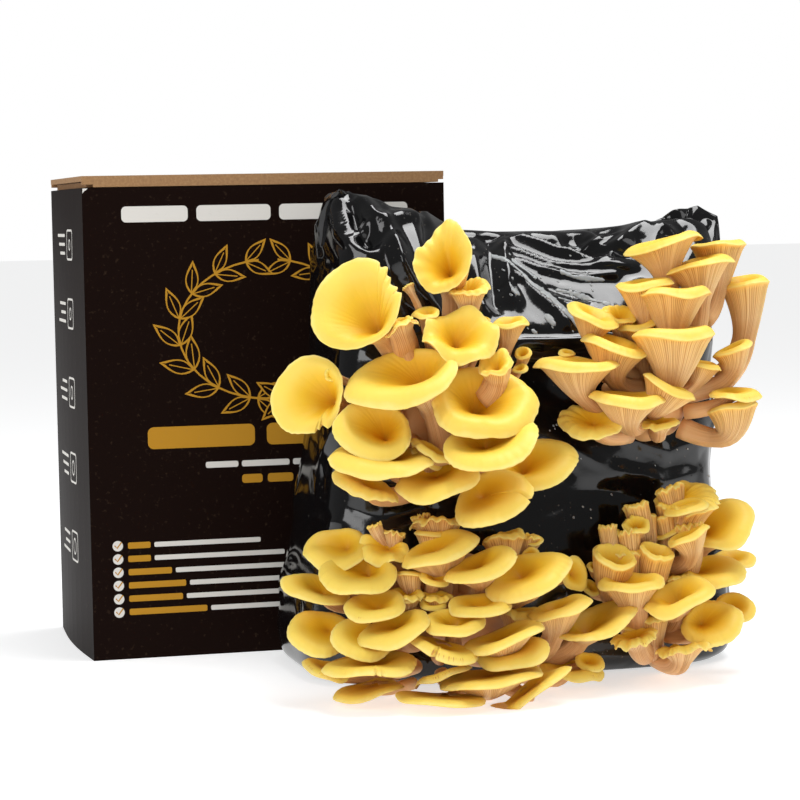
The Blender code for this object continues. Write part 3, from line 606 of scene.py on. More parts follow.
def lump_arrays(cluster, seed):
    """The lump of joined stems and mycelium where a cluster leaves the bag."""
    x, z, half_width, half_height, stands_out = BASES[cluster]
    rng = np.random.default_rng(seed)
    rings, count = 40, 96
    lat = np.linspace(0.0, math.pi / 2 + 0.25, rings)
    angle = np.arange(count) * 2 * math.pi / count
    waves = [smooth_noise(angle, rng, 3, 14, 0.3) for _ in range(4)]
    rows = []
    for i, a in enumerate(lat):
        mix = sum(w * math.sin((k + 1) * a * 1.3 + k) for k, w in enumerate(waves)) / 3.0
        size = 1.0 + 0.12 * mix
        rows.append(np.stack([x + half_width * math.sin(a) * np.cos(angle) * size,
                              -130.0 - stands_out * math.cos(a) * (1.0 + 0.06 * mix),
                              z + half_height * math.sin(a) * np.sin(angle) * size], axis=1))
    points = np.array(rows).reshape(-1, 3)
    faces = [tuple(q) for q in ring_faces(rings, count)]
    attributes = {"spread": np.zeros(len(points)), "underside": np.ones(len(points)),
                  "groove": np.full(len(points), 0.4)}
    return points, faces, attributes


def build_cluster(context, cluster, seed):
    sizes = context.scene.kit_sizes
    material = bpy.data.materials.get("fresh_mushroom_flesh") or mushroom_material(context.scene.kit_colours)
    for number, values in enumerate(MUSHROOMS[cluster], 1):
        node = "{}_mushroom_{:02d}".format(cluster, number)
        points, faces, attributes = mushroom_arrays(values, seed + number, sizes)
        piece = mesh_piece(node + "_flesh", world_array(points), faces, [material], attributes=attributes)
        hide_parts(node)
        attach(piece, "kit")
    parts = [lump_arrays(cluster, seed + 50)]
    for number, values in enumerate(SMALL_MUSHROOMS[cluster], 1):
        parts.append(mushroom_arrays(values, seed + 60 + number, sizes))
    points, faces, attributes = joined_arrays(parts)
    piece = mesh_piece(cluster + "_stem_lump", world_array(points), faces, [material], attributes=attributes)
    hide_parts(cluster + "_base")
    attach(piece, "kit")


# The bag by height: z, left x, right x, front y, back y.
BAG_ROWS = (
    (0.0, 109.0, 334.0, -133.0, -9.0),
    (5.0, 101.0, 342.0, -140.0, -3.0),
    (20.0, 98.0, 346.0, -142.0, -1.0),
    (45.0, 101.0, 344.0, -140.0, -0.8),
    (75.0, 108.0, 340.0, -137.0, -0.8),
    (110.0, 114.0, 337.0, -134.0, -0.8),
    (150.0, 118.0, 337.0, -132.0, -0.8),
    (176.0, 119.0, 340.0, -130.0, -1.5),
    (190.0, 119.0, 343.0, -121.0, -3.0),
    (205.0, 120.0, 347.0, -107.0, -8.0),
    (220.0, 121.0, 351.0, -91.0, -16.0),
    (231.0, 124.0, 353.0, -77.0, -26.0),
    (238.0, 129.0, 350.0, -65.0, -36.0),
    (241.0, 136.0, 344.0, -58.0, -44.0),
)


def film_material(colours, dust):
    """Blown polythene film, black and glossy, with dust and dried drops that show grey."""
    material, tree, shader = new_material("blown_black_polythene_film", colours.film, 0.14, IOR=1.51)
    place = add_node(tree, "ShaderNodeTexCoord").outputs["Object"]
    specks = add_node(tree, "ShaderNodeTexVoronoi", {"feature": "F1"}, {"Vector": place, "Scale": 260.0,
                                                                       "Randomness": 1.0})
    patches = add_node(tree, "ShaderNodeTexNoise", None, {"Vector": place, "Scale": 26.0, "Detail": 4.0})
    near = add_node(tree, "ShaderNodeMapRange", None, {"Value": specks.outputs["Distance"], "From Min": 0.16,
                                                      "From Max": 0.05})
    where = add_node(tree, "ShaderNodeMapRange", None, {"Value": patches.outputs["Fac"], "From Min": 0.52,
                                                       "From Max": 0.72, "To Max": dust})
    mask = add_node(tree, "ShaderNodeMath", {"operation": "MULTIPLY"},
                    {0: near.outputs["Result"], 1: where.outputs["Result"]})
    colour = add_node(tree, "ShaderNodeMix", {"data_type": "RGBA"},
                      {"Factor": mask.outputs[0], "A": colours.film, "B": linear("#9A958C")})
    tree.links.new(colour.outputs["Result"], shader.inputs["Base Color"])
    haze = add_node(tree, "ShaderNodeMapRange", None, {"Value": patches.outputs["Fac"], "From Min": 0.3,
                                                      "From Max": 0.75, "To Min": 0.06, "To Max": 0.15})
    tree.links.new(haze.outputs["Result"], shader.inputs["Roughness"])
    fine = add_node(tree, "ShaderNodeTexNoise", None, {"Vector": place, "Scale": 320.0, "Detail": 3.0})
    bump = add_node(tree, "ShaderNodeBump", None, {"Height": fine.outputs["Fac"], "Strength": 0.15,
                                                  "Distance": 0.0003})
    tree.links.new(bump.outputs["Normal"], shader.inputs["Normal"])
    return material


# The height of the bag's top edge along it: x, z.
TOP_LINE = ((105, 250), (122, 251), (131, 264), (138, 261), (150, 260), (161, 257), (183, 252), (204, 241), (263, 239), (299, 241),
            (337, 243), (352, 243))


def soft_step(values, low, high):
    t = np.clip((values - low) / (high - low), 0.0, 1.0)
    return t * t * (3 - 2 * t)


def bag_surface(columns, rows):
    """The bag's smooth form: rows of rings from the floor to the top fold, in millimetres."""
    table = np.array(BAG_ROWS)
    # Evenly spaced along the profile, so that the rounded top gets its share.
    travel = np.concatenate([[0.0], np.cumsum(np.hypot(np.diff(table[:, 0]), np.diff(table[:, 3])))])
    at = np.linspace(0.0, travel[-1], rows)
    kernel = np.hanning(9)
    kernel /= kernel.sum()
    smooth = []
    for k in range(5):
        fine = np.interp(at, travel, table[:, k])
        padded = np.concatenate([2 * fine[0] - fine[4:0:-1], fine, 2 * fine[-1] - fine[-2:-6:-1]])
        smooth.append(np.convolve(padded, kernel, mode="valid"))
    z, left, right, front, back = smooth
    t = np.linspace(0.0, 2 * math.pi, 721)
    power = 2.0 / 4.5
    c = np.sign(np.cos(t)) * np.abs(np.cos(t)) ** power
    s = np.sign(np.sin(t)) * np.abs(np.sin(t)) ** power
    # Points spread evenly round the ring, with two thirds of them on its front half.
    run = np.concatenate([[0.0], np.cumsum(np.hypot(np.diff(c) * 115.0, np.diff(s) * 70.0))])
    share = np.arange(columns) / columns
    want = run[-1] * np.where(share < 0.34, share / 0.68, 0.5 + (share - 0.34) / 1.32)
    c = np.interp(want, run, c)
    s = np.interp(want, run, s)
    x = (left + right)[:, None] / 2 + c[None, :] * (right - left)[:, None] / 2
    y = (front + back)[:, None] / 2 + s[None, :] * (back - front)[:, None] / 2
    z = np.repeat(z[:, None], columns, axis=1)
    # The left end of the top stands steeper than the slope beside it, and the top edge dips between its corners.
    front_side = np.clip(-s, 0.0, 1.0)[None, :]
    y = y - 30.0 * soft_step(-x, -196.0, -166.0) * soft_step(z, 184.0, 226.0) * front_side
    top = np.interp(x, [p[0] for p in TOP_LINE], [p[1] for p in TOP_LINE])
    z = z + (top - 241.0) * np.clip((z - 196.0) / 45.0, 0.0, 1.0) ** 1.3
    return np.stack([x, y, z], axis=2)


def surface_normals(grid):
    around = np.roll(grid, -1, axis=1) - np.roll(grid, 1, axis=1)
    up = np.gradient(grid, axis=0)
    normal = np.cross(around, up)
    return normal / np.maximum(np.linalg.norm(normal, axis=2, keepdims=True), 1e-9)


def crease(grid, line, height, width, fade=0.25):
    """A fold along a line of points with flat sides that meet at a sharp edge: height in mm, positive outwards."""
    line = np.array(line, float)
    lengths = np.linalg.norm(np.diff(line, axis=0), axis=1)
    total = lengths.sum()
    nearest = np.full(grid.shape[:2], 1e9)
    along = np.zeros(grid.shape[:2])
    passed = 0.0
    for a, b, length in zip(line, line[1:], lengths):
        way = (b - a) / length
        t = np.clip((grid - a) @ way, 0.0, length)
        gap = np.linalg.norm(grid - a - t[..., None] * way, axis=2)
        closer = gap < nearest
        nearest = np.where(closer, gap, nearest)
        along = np.where(closer, (passed + t) / total, along)
        passed += length
    ends = soft_step(along, 0.0, fade) * soft_step(1.0 - along, 0.0, fade)
    return height * np.maximum(0.0, 1.0 - nearest / width) ** 1.25 * ends


# The folds seen on the film: their height, half width and the points they run through, as x, y, z.
FILM_FOLDS = (
    (4.5, 8, ((136, -64, 261), (140, -80, 259), (147, -97, 249), (152, -103, 243), (155, -117, 225), (162, -120, 210))),
    (4.0, 9, ((152, -103, 243), (155, -117, 225), (162, -120, 210), (172, -119, 200), (180, -124, 188))),
    (3.5, 5, ((136, -49, 261), (131, -75, 255), (128, -88, 243), (131, -101, 235), (138, -109, 230), (147, -110, 230))),
    (-7.0, 10, ((137, -70, 261), (136, -86, 254), (135, -97, 245), (138, -105, 237), (142, -110, 229))),
    (2.6, 4, ((130, -89, 246), (134, -97, 242), (141, -101, 243))),
    (2.6, 4, ((131, -101, 236), (137, -98, 243), (142, -95, 249))),
    (2.5, 7, ((128, -43, 249), (121, -67, 226), (120, -66, 204))),
    (4.0, 8, ((147, -99, 246), (161, -93, 250), (175, -87, 248))),
    (-4.5, 9, ((152, -84, 254), (166, -78, 252), (180, -72, 250))),
    (-3.5, 9, ((179, -77, 250), (176, -101, 236), (187, -96, 224), (196, -104, 208))),
    (3.0, 8, ((204, -78, 230), (201, -104, 208), (200, -119, 192))),
    (-4.5, 8, ((220, -58, 240), (213, -87, 223), (209, -109, 203), (212, -118, 192))),
    (2.8, 6, ((228, -60, 240), (222, -84, 225), (219, -100, 212), (222, -116, 194))),
    (4.2, 8, ((302, -89, 221), (277, -88, 222), (256, -78, 229), (237, -67, 236), (224, -62, 239))),
    (3.0, 5, ((300, -93, 218), (269, -91, 219), (248, -87, 222), (230, -78, 230), (219, -71, 234))),
    (2.6, 5, ((292, -96, 215), (262, -96, 215), (241, -91, 219), (224, -81, 227))),
    (-3.0, 6, ((302, -85, 225), (280, -81, 228), (258, -71, 234), (240, -62, 239))),
    (-3.5, 10, ((270, -59, 239), (271, -77, 230), (278, -88, 222))),
    (4.5, 10, ((278, -88, 222), (297, -72, 234), (318, -58, 242))),
    (-3.5, 10, ((278, -88, 222), (302, -82, 227), (327, -67, 237))),
    (4.0, 10, ((306, -88, 221), (313, -75, 232), (325, -61, 241))),
    (-3.5, 9, ((306, -97, 214), (324, -80, 227), (340, -60, 241))),
    (3.5, 9, ((282, -105, 207), (301, -102, 209), (315, -92, 218))),
    (2.4, 4, ((208, -127, 181), (231, -127, 181), (257, -127, 181), (280, -126, 182))),
    (-1.6, 4, ((208, -129, 176), (230, -130, 175), (262, -129, 176))),
    (2.4, 8, ((221, -87, 223), (227, -96, 215), (235, -107, 205), (244, -115, 196), (249, -125, 183))),
    (-1.6, 5, ((237, -100, 210), (250, -105, 206), (268, -110, 202))),
    (2.5, 7, ((126, -128, 206), (140, -130, 200), (150, -130, 186), (148, -131, 160))),
    (2.0, 8, ((118, -120, 110), (140, -134, 100), (165, -135, 104))),
    (-2.0, 7, ((118, -118, 96), (136, -136, 88), (160, -136, 94))),
    (2.0, 7, ((120, -124, 122), (150, -134, 112), (170, -134, 118))),
    (2.2, 8, ((332, -120, 150), (338, -104, 120), (340, -96, 80))),
    (2.2, 7, ((262, -134, 112), (296, -135, 102), (334, -130, 108))),
    (-2.0, 7, ((256, -134, 100), (290, -136, 93), (330, -132, 98))),
    (2.0, 6, ((270, -133, 128), (300, -134, 118), (330, -130, 124))),
    (2.4, 7, ((108, -128, 66), (106, -136, 40), (112, -140, 14))),
)

# Water marks on the film, pale grey partly as dried residue and partly as a painted glint of the wet drops: x, z along
# a line, then the half width.
WET_MARKS = (
    (1.3, ((217, 226), (223, 223), (228, 217), (232, 211), (236, 208))),
    (0.9, ((226, 224), (231, 219), (236, 214))),
    (1.9, ((237, 207), (241, 203), (245, 198), (249, 193))),
    (1.6, ((249, 192), (252, 188), (256, 184))),
    (1.2, ((247, 207), (256, 205), (266, 201), (273, 199))),
    (0.8, ((246, 203), (258, 199), (268, 196))),
    (1.4, ((252, 217), (258, 214), (266, 213), (274, 212))),
    (1.5, ((220, 208), (222, 206))),
    (2.0, ((236, 193), (238, 190))),
    (1.3, ((226, 186), (227, 185))),
    (0.7, ((254, 208), (254, 203))),
)


def water_marks(grid, normal, rng):
    """Flat drops and smears lying on the film's front: points and faces in millimetres."""
    step = grid.shape[1]
    front = grid[:, int(step * 0.5):int(step * 0.85)]
    front_normal = normal[:, int(step * 0.5):int(step * 0.85)]
    flat = front.reshape(-1, 3)
    flat_normal = front_normal.reshape(-1, 3)
    marks = [(w, line) for w, line in WET_MARKS]
    for _ in range(46):
        x, z = rng.uniform(206, 276), rng.uniform(183, 230)
        marks.append((rng.uniform(0.3, 0.75), ((x, z), (x + 0.3, z - 0.4))))
    for _ in range(26):
        x, z = rng.uniform(225, 330), rng.uniform(84, 150)
        marks.append((rng.uniform(0.25, 0.6), ((x, z), (x + 0.2, z - 0.3))))
    points, faces = [], []
    for half, line in marks:
        line = np.array(line, float)
        run = np.concatenate([[0.0], np.cumsum(np.hypot(*np.diff(line, axis=0).T))])
        count = max(5, int(run[-1] / 0.8) + 4)
        at = np.linspace(-half, run[-1] + half, count)
        cx = np.interp(at, run, line[:, 0]) + np.where(at < 0, at, 0) * (line[1, 0] - line[0, 0]) / max(run[1], 1e-6)
        cz = np.interp(at, run, line[:, 1]) + np.where(at < 0, at, 0) * (line[1, 1] - line[0, 1]) / max(run[1], 1e-6)
        over = np.where(at > run[-1], at - run[-1], 0)
        last = run[-1] - run[-2]
        cx += over * (line[-1, 0] - line[-2, 0]) / max(last, 1e-6)
        cz += over * (line[-1, 1] - line[-2, 1]) / max(last, 1e-6)
        taper = np.sqrt(np.clip(1.0 - (np.clip(np.abs(at - run[-1] / 2) - run[-1] / 2, 0, None) / half) ** 2, 0.02, 1))
        rough = np.convolve(rng.normal(size=count + 6), np.ones(7) / 7.0, mode="valid")
        taper = taper * (1.0 + 0.6 * rough * (run[-1] > 3.0))
        wayx, wayz = np.gradient(cx), np.gradient(cz)
        size = np.maximum(np.hypot(wayx, wayz), 1e-6)
        sidex, sidez = -wayz / size, wayx / size
        first = len(points)
        offsets = (-1.0, -0.6, 0.0, 0.6, 1.0)
        heights = (-0.12, 0.22, 0.3, 0.22, -0.12)
        for i in range(count):
            for o, h in zip(offsets, heights):
                x = cx[i] + sidex[i] * o * half * taper[i]
                z = cz[i] + sidez[i] * o * half * taper[i]
                k = np.argmin((flat[:, 0] - x) ** 2 + (flat[:, 2] - z) ** 2)
                base = flat[k] + (np.array([x, flat[k][1], z]) - flat[k])
                rise = h * min(1.0, half * 0.7) * (0.2 if i in (0, count - 1) else 1.0)
                points.append(base + flat_normal[k] * (rise + 0.1))
            points.append(points[-3] - flat_normal[k] * 0.9)
        for i in range(count - 1):
            a, b = first + i * 6, first + i * 6 + 6
            for j in range(4):
                faces.append((a + j, a + j + 1, b + j + 1, b + j))
            faces.append((a + 4, a + 5, b + 5, b + 4))
            faces.append((a + 5, a, b, b + 5))
        faces.append(tuple(range(first, first + 6))[::-1])
        a = first + (count - 1) * 6
        faces.append(tuple(range(a, a + 6)))
    return points, faces


# The film's two corners that stand up: the line each rises from, then its upper edge.
EARS = (
    (((122, -66, 232), (127, -70, 246), (140, -72, 252), (152, -70, 252), (166, -68, 248)),
     ((119, -68, 246), (124, -71, 257), (131, -74, 265), (138, -73, 262), (148, -72, 261), (163, -70, 252))),
    (((322, -52, 239), (334, -52, 240), (344, -54, 239), (351, -60, 234), (353, -68, 226)),
     ((318, -50, 241), (334, -48, 249), (350, -47, 252), (361, -50, 246), (359, -60, 226))),
)


def line_points(line, count):
    """Points evenly spread along a line."""
    line = np.asarray(line, float)
    run = np.concatenate([[0.0], np.cumsum(np.linalg.norm(np.diff(line, axis=0), axis=1))])
    at = np.linspace(0.0, run[-1], count)
    return np.stack([np.interp(at, run, line[:, k]) for k in range(3)], axis=1)


def film_flap(low, high, rng, across=70, up=30, thick=0.5, wrinkle=0.9):
    """A crumpled standing flap of film between two lines, closed all round."""
    low = line_points(low, across)
    high = line_points(high, across)
    v = np.linspace(0.0, 1.0, up)[:, None, None]
    grid = low[None] * (1 - v) + high[None] * v
    normal = surface_normals_open(grid)
    push = np.zeros(grid.shape[:2])
    u = np.linspace(0.0, 1.0, across)[None, :]
    for _ in range(9):
        k = rng.uniform(2, 11)
        slant = rng.uniform(-3, 3)
        push += wrinkle / k * 3.0 * np.sin(k * 2.2 * u + slant * v[:, :, 0] * 2 + rng.uniform(0, 6.28))
    push = np.abs(push) * 1.4 - 1.0
    grid = grid + normal * (push * (0.15 + 0.85 * v[:, :, 0]))[:, :, None]
    front = grid + normal * thick / 2
    rear = grid - normal * thick / 2
    points = np.concatenate([front.reshape(-1, 3), rear.reshape(-1, 3)])
    faces = []
    half = across * up
    for i in range(up - 1):
        for j in range(across - 1):
            a, b = i * across + j, i * across + j + 1
            c, d = b + across, a + across
            faces.append((a, b, c, d))
            faces.append((a + half, d + half, c + half, b + half))
    border = [j for j in range(across)] + [i * across + across - 1 for i in range(1, up)]
    border += [(up - 1) * across + j for j in range(across - 2, -1, -1)] + [i * across for i in range(up - 2, 0, -1)]
    for a, b in zip(border, border[1:] + border[:1]):
        faces.append((b, a, a + half, b + half))
    return points, faces


def surface_normals_open(grid):
    normal = np.cross(np.gradient(grid, axis=1), np.gradient(grid, axis=0))
    return normal / np.maximum(np.linalg.norm(normal, axis=2, keepdims=True), 1e-9)


def build_bag(context):
    colours = context.scene.kit_colours
    grid = bag_surface(456, 188)
    normal = surface_normals(grid)
    rng = np.random.default_rng(7)
    push = np.zeros(grid.shape[:2])
    # Lumps of the substrate behind the film.
    for _ in range(26):
        k = rng.normal(size=3) * 0.045
        push += 0.35 * np.sin(grid @ k + rng.uniform(0, 6.28))
    # Many small folds, deeper near the top and the bottom corners and on the sides and the back.
    for _ in range(260):
        i = rng.integers(4, grid.shape[0])
        j = rng.integers(0, grid.shape[1])
        centre = grid[i, j]
        way = rng.normal(size=3)
        way -= normal[i, j] * way.dot(normal[i, j])
        way /= np.linalg.norm(way)
        reach = rng.uniform(8, 32)
        deep = centre[2] > 185 or centre[2] < 40
        height = rng.uniform(0.3, 0.85) * rng.choice((-1, 1)) * (1.1 if deep else 1.0)
        if normal[i, j][1] > -0.5:
            height *= 2.4
        push += crease(grid, (centre - way * reach, centre + way * reach), height, rng.uniform(3.0, 9.0), 0.45)
    for height, width, line in FILM_FOLDS:
        push += crease(grid, line, height, width, 0.18)
    floor = np.clip(grid[:, :, 2] / 12.0, 0.0, 1.0)
    # The film lies flat where it stands against the carton, and is free beside it.
    free = soft_step(grid[:, :, 0], 213.0, 226.0)
    back = np.maximum(np.clip((-grid[:, :, 1] - 1.0) / 14.0, 0.0, 1.0), 0.8 * free)
    grid = grid + normal * (push * floor * back)[:, :, None]
    grid[:, :, 2] = np.maximum(grid[:, :, 2], 0.3)
    grid[:, :, 1] = np.minimum(grid[:, :, 1], -0.6 + 2.0 * free)
    rows, columns = grid.shape[:2]
    points = list(grid.reshape(-1, 3))
    faces = [tuple(q) for q in ring_faces(rows, columns)]
    faces.append(tuple(range(columns))[::-1])
    # The top fold: its front and back edges meet in a strip.
    last = (rows - 1) * columns
    turn = int(columns * 0.34)
    near = [last + i % columns for i in range(columns, turn - 1, -1)]
    far = [last + round(i * turn / (columns - turn)) for i in range(columns - turn + 1)]
    for (a, b), (c, d) in zip(zip(near, far), zip(near[1:], far[1:])):
        ring = [v for k, v in enumerate((a, b, d, c)) if v not in (a, b, d, c)[:k]]
        if len(ring) > 2:
            faces.append(tuple(ring))
    offset = len(points)
    for low, high in EARS:
        more, more_faces = film_flap(low, high, rng)
        points += list(more)
        faces += [tuple(i + offset for i in f) for f in more_faces]
        offset = len(points)
    film_faces = len(faces)
    more, more_faces = water_marks(grid, surface_normals(grid), rng)
    points += more
    faces += [tuple(i + offset for i in f) for f in more_faces]
    slots = [0] * film_faces + [1] * len(more_faces)
    film = film_material(colours, context.scene.kit_sizes.film_dust)
    # Painted highlight: the marks' pale grey partly stands in for the light the wet drops catch, and partly for dried
    # residue.
    water, _, _ = new_material("water_marks_and_painted_glints", linear("#B9BDBE"), 0.22, IOR=1.33, Alpha=0.75)
    piece = mesh_piece("film_bag", world_array(points), faces, [film, water], slots)
    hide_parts("grow_bag")
    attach(piece, "kit")


def rounded_bar(x0, z0, x1, z1, radius, steps=5):
    """A bar with round corners, as a closed outline."""
    points = []
    for cx, cz, start in ((x1 - radius, z1 - radius, 0), (x0 + radius, z1 - radius, 90),
                          (x0 + radius, z0 + radius, 180), (x1 - radius, z0 + radius, 270)):
        for i in range(steps + 1):
            a = math.radians(start + 90.0 * i / steps)
            points.append((cx + radius * math.cos(a), cz + radius * math.sin(a)))
    return points


def disc(x, z, radius, steps=24):
    return [(x + radius * math.cos(2 * math.pi * i / steps), z + radius * math.sin(2 * math.pi * i / steps))
            for i in range(steps)]


def stroke(points, width):
    """A line of constant width along points, as one closed outline."""
    left, right = [], []
    for i, (x, z) in enumerate(points):
        x0, z0 = points[max(0, i - 1)]
        x1, z1 = points[min(len(points) - 1, i + 1)]
        length = math.hypot(x1 - x0, z1 - z0)
        nx, nz = -(z1 - z0) / length * width / 2, (x1 - x0) / length * width / 2
        left.append((x + nx, z + nz))
        right.append((x - nx, z - nz))
    return left + right[::-1]


def leaf(x, z, angle, length, width, inset=0.0, steps=9):
    """A pointed leaf's outline, from its stalk at x, z."""
    points = []
    ca, sa = math.cos(angle), math.sin(angle)
    for side in (1, -1):
        order = range(steps + 1) if side == 1 else range(steps - 1, 0, -1)
        for i in order:
            t = i / steps
            along = inset * 1.8 + (length - inset * 4.2) * t
            out = side * max(0.0, width / 2 * math.sin(math.pi * t ** 0.8) - inset)
            if i in (0, steps):
                out = 0.0
            points.append((x + along * ca - out * sa, z + along * sa + out * ca))
    return points


def front_print(leaves):
    """The front's marks in paint order, as (colour, outline): plain bars where words would be, and a garland."""
    marks = []
    # Ink chipped off the liner at the front's upper left corner.
    marks.append(("white", [(0.4, 268.0), (0.4, 265.2), (1.4, 266.6), (2.2, 266.9), (3.4, 268.0)]))
    for x0, x1 in ((22, 60), (65, 108), (113, 150), (156, 189)):
        marks.append(("white", rounded_bar(x0, 248.5, x1, 257.5, 2.6)))
    # Two leafy sprigs that cross low in the middle and bow outwards.
    for side in (1, -1):
        stem = []
        for i in range(25):
            t = i / 24
            angle = math.radians(-112 + 196 * t)
            stem.append((106 + side * (54 * math.cos(angle) * 0.98 - 0), 186 + 40 * math.sin(angle)))
        marks.append(("gold", stroke(stem, 1.1)))
        for i in range(leaves):
            t = (i + 0.6) / leaves
            angle = math.radians(-112 + 196 * t)
            x = 106 + side * 54 * math.cos(angle) * 0.98
            z = 186 + 40 * math.sin(angle)
            heading = math.atan2(40 * math.cos(angle), -side * 54 * math.sin(angle) * 0.98)
            for turn in (0.62, -0.62):
                size = 21.0 - 5.0 * abs(t - 0.4)
                way = heading + turn
                marks.append(("gold", leaf(x, z, way, size, size * 0.40)))
                marks.append(("black", leaf(x, z, way, size, size * 0.40, 0.75)))
                tip = (x + math.cos(way) * size * 0.72, z + math.sin(way) * size * 0.72)
                marks.append(("gold", stroke([(x, z), tip], 0.6)))
    for x0, x1 in ((34, 96), (103, 176)):
        marks.append(("gold", rounded_bar(x0, 119.5, x1, 132.0, 3.4)))
    for x0, x1 in ((67, 86), (88, 116), (118, 150)):
        marks.append(("white", rounded_bar(x0, 107.5, x1, 111.0, 1.2)))
    for x0, x1 in ((88, 100), (103, 118)):
        marks.append(("gold", rounded_bar(x0, 98.0, x1, 103.0, 1.6)))
    for row in range(6):
        z = 65.0 - row * 7.6
        marks.append(("white", disc(15.2, z, 3.0)))
        marks.append(("gold", stroke([(13.4, z + 0.4), (14.8, z - 1.2), (17.4, z + 2.2)], 0.8)))
        first = (34, 34, 46, 54, 52, 66)[row]
        marks.append(("gold", rounded_bar(21.0, z - 1.8, first, z + 1.8, 0.9)))
        second = (98, 112, 120, 126, 130, 118)[row]
        marks.append(("white", rounded_bar(first + 2.2, z - 1.4, second, z + 1.4, 0.8)))
    return marks


def side_print():
    """The left side's marks, from its front edge back: small plain outlines and bars."""
    marks = []
    for z, kind in ((236, 0), (196, 1), (150, 2), (106, 3), (60, 4)):
        marks.append(("white", rounded_bar(40, z - 9, 62, z + 9, 3.0)))
        marks.append(("black", rounded_bar(41.2, z - 7.8, 60.8, z + 7.8, 2.2)))
        marks.append(("white", disc(51, z, 3.4 + kind * 0.4)))
        marks.append(("black", disc(51, z, 2.3 + kind * 0.4)))
        for i in range(3):
            marks.append(("white", rounded_bar(70, z + 4.5 - i * 5.2, 104 - 6 * ((i + kind) % 3), z + 6.3 - i * 5.2, 0.8)))
    return marks


def printed_panel(width, height, marks, place, spacing=17.0):
    """A flat panel split along every mark's outline, so that the ink is flush: points, faces, ink per face."""
    points = [(0.0, 0.0), (width, 0.0), (width, height), (0.0, height)]
    outlines = []
    columns = max(2, round(width / spacing))
    rows = max(2, round(height / spacing))
    edge = []
    for i in range(columns):
        edge.append((width * i / columns, 0.0))
    for i in range(rows):
        edge.append((width, height * i / rows))
    for i in range(columns, 0, -1):
        edge.append((width * i / columns, height))
    for i in range(rows, 0, -1):
        edge.append((0.0, height * i / rows))
    points = list(edge)
    outlines.append(list(range(len(edge))))
    for _, outline in marks:
        start = len(points)
        area = sum(a[0] * b[1] - b[0] * a[1] for a, b in zip(outline, outline[1:] + outline[:1]))
        points += outline if area > 0 else outline[::-1]
        outlines.append(list(range(start, len(points))))
    for i in range(1, columns):
        for j in range(1, rows):
            points.append((width * i / columns + 0.13, height * j / rows + 0.17))
    result = geometry.delaunay_2d_cdt([Vector(p) for p in points], [], outlines, 0, 1e-4)
    flat, _, faces, _, _, owners = result
    inks = {"black": 0, "gold": 1, "white": 2}
    slots = []
    for owner in owners:
        inside = [i for i in owner if i > 0]
        slots.append(inks[marks[max(inside) - 1][0]] if inside else 0)
    return [place(p[0], p[1]) for p in flat], [tuple(f) for f in faces], slots


def board_materials(colours):
    """Kraft corrugated board: printed, bare liner and cut edge."""
    printed = []
    for name, colour in (("flexo_black_on_board", colours.print_black), ("flexo_gold_on_board", colours.print_gold),
                         ("flexo_white_on_board", colours.print_white)):
        material, tree, shader = new_material(name, colour, 0.46, IOR=1.5, Specular_IOR_Level=0.02)
        place = add_node(tree, "ShaderNodeTexCoord").outputs["Object"]
        # Board liner grain of about 2 mm and faint washboard over the flutes, 6.5 mm apart.
        grain = add_node(tree, "ShaderNodeTexNoise", None, {"Vector": place, "Scale": 420.0, "Detail": 5.0})
        worn = add_node(tree, "ShaderNodeMapRange", None, {"Value": grain.outputs["Fac"], "From Min": 0.62,
                                                          "From Max": 0.8, "To Max": 0.10})
        colour_node = add_node(tree, "ShaderNodeMix", {"data_type": "RGBA"},
                               {"Factor": worn.outputs["Result"], "A": colour, "B": linear("#8A7058")})
        tree.links.new(colour_node.outputs["Result"], shader.inputs["Base Color"])
        flutes = add_node(tree, "ShaderNodeTexWave", {"bands_direction": "X"},
                          {"Vector": place, "Scale": 1000.0 / 6.5 / 6.2832 * 2, "Distortion": 0.4})
        height = add_node(tree, "ShaderNodeMath", {"operation": "MULTIPLY_ADD"},
                          {0: flutes.outputs["Fac"], 1: 0.25, 2: grain.outputs["Fac"]})
        bump = add_node(tree, "ShaderNodeBump", None, {"Height": height.outputs[0], "Strength": 0.12,
                                                      "Distance": 0.0004})
        tree.links.new(bump.outputs["Normal"], shader.inputs["Normal"])
        printed.append(material)
    kraft, tree, shader = new_material("kraft_liner_board", colours.kraft, 0.8)
    place = add_node(tree, "ShaderNodeTexCoord").outputs["Object"]
    fibres = add_node(tree, "ShaderNodeTexNoise", None, {"Vector": place, "Scale": 700.0, "Detail": 6.0})
    shade = ramp(tree, fibres.outputs["Fac"], ((0.3, linear("#8E6B48")), (0.5, colours.kraft), (0.72, linear("#A68159"))))
    tree.links.new(shade.outputs["Color"], shader.inputs["Base Color"])
    bump = add_node(tree, "ShaderNodeBump", None, {"Height": fibres.outputs["Fac"], "Strength": 0.1, "Distance": 0.0003})
    tree.links.new(bump.outputs["Normal"], shader.inputs["Normal"])
    return printed + [kraft]


def carton_bow(y, z, depth, height):
    return 3.0 * max(0.0, 1.0 - z / height) ** 0.5 * math.sin(math.pi * min(max(y / depth, 0.0), 1.0))


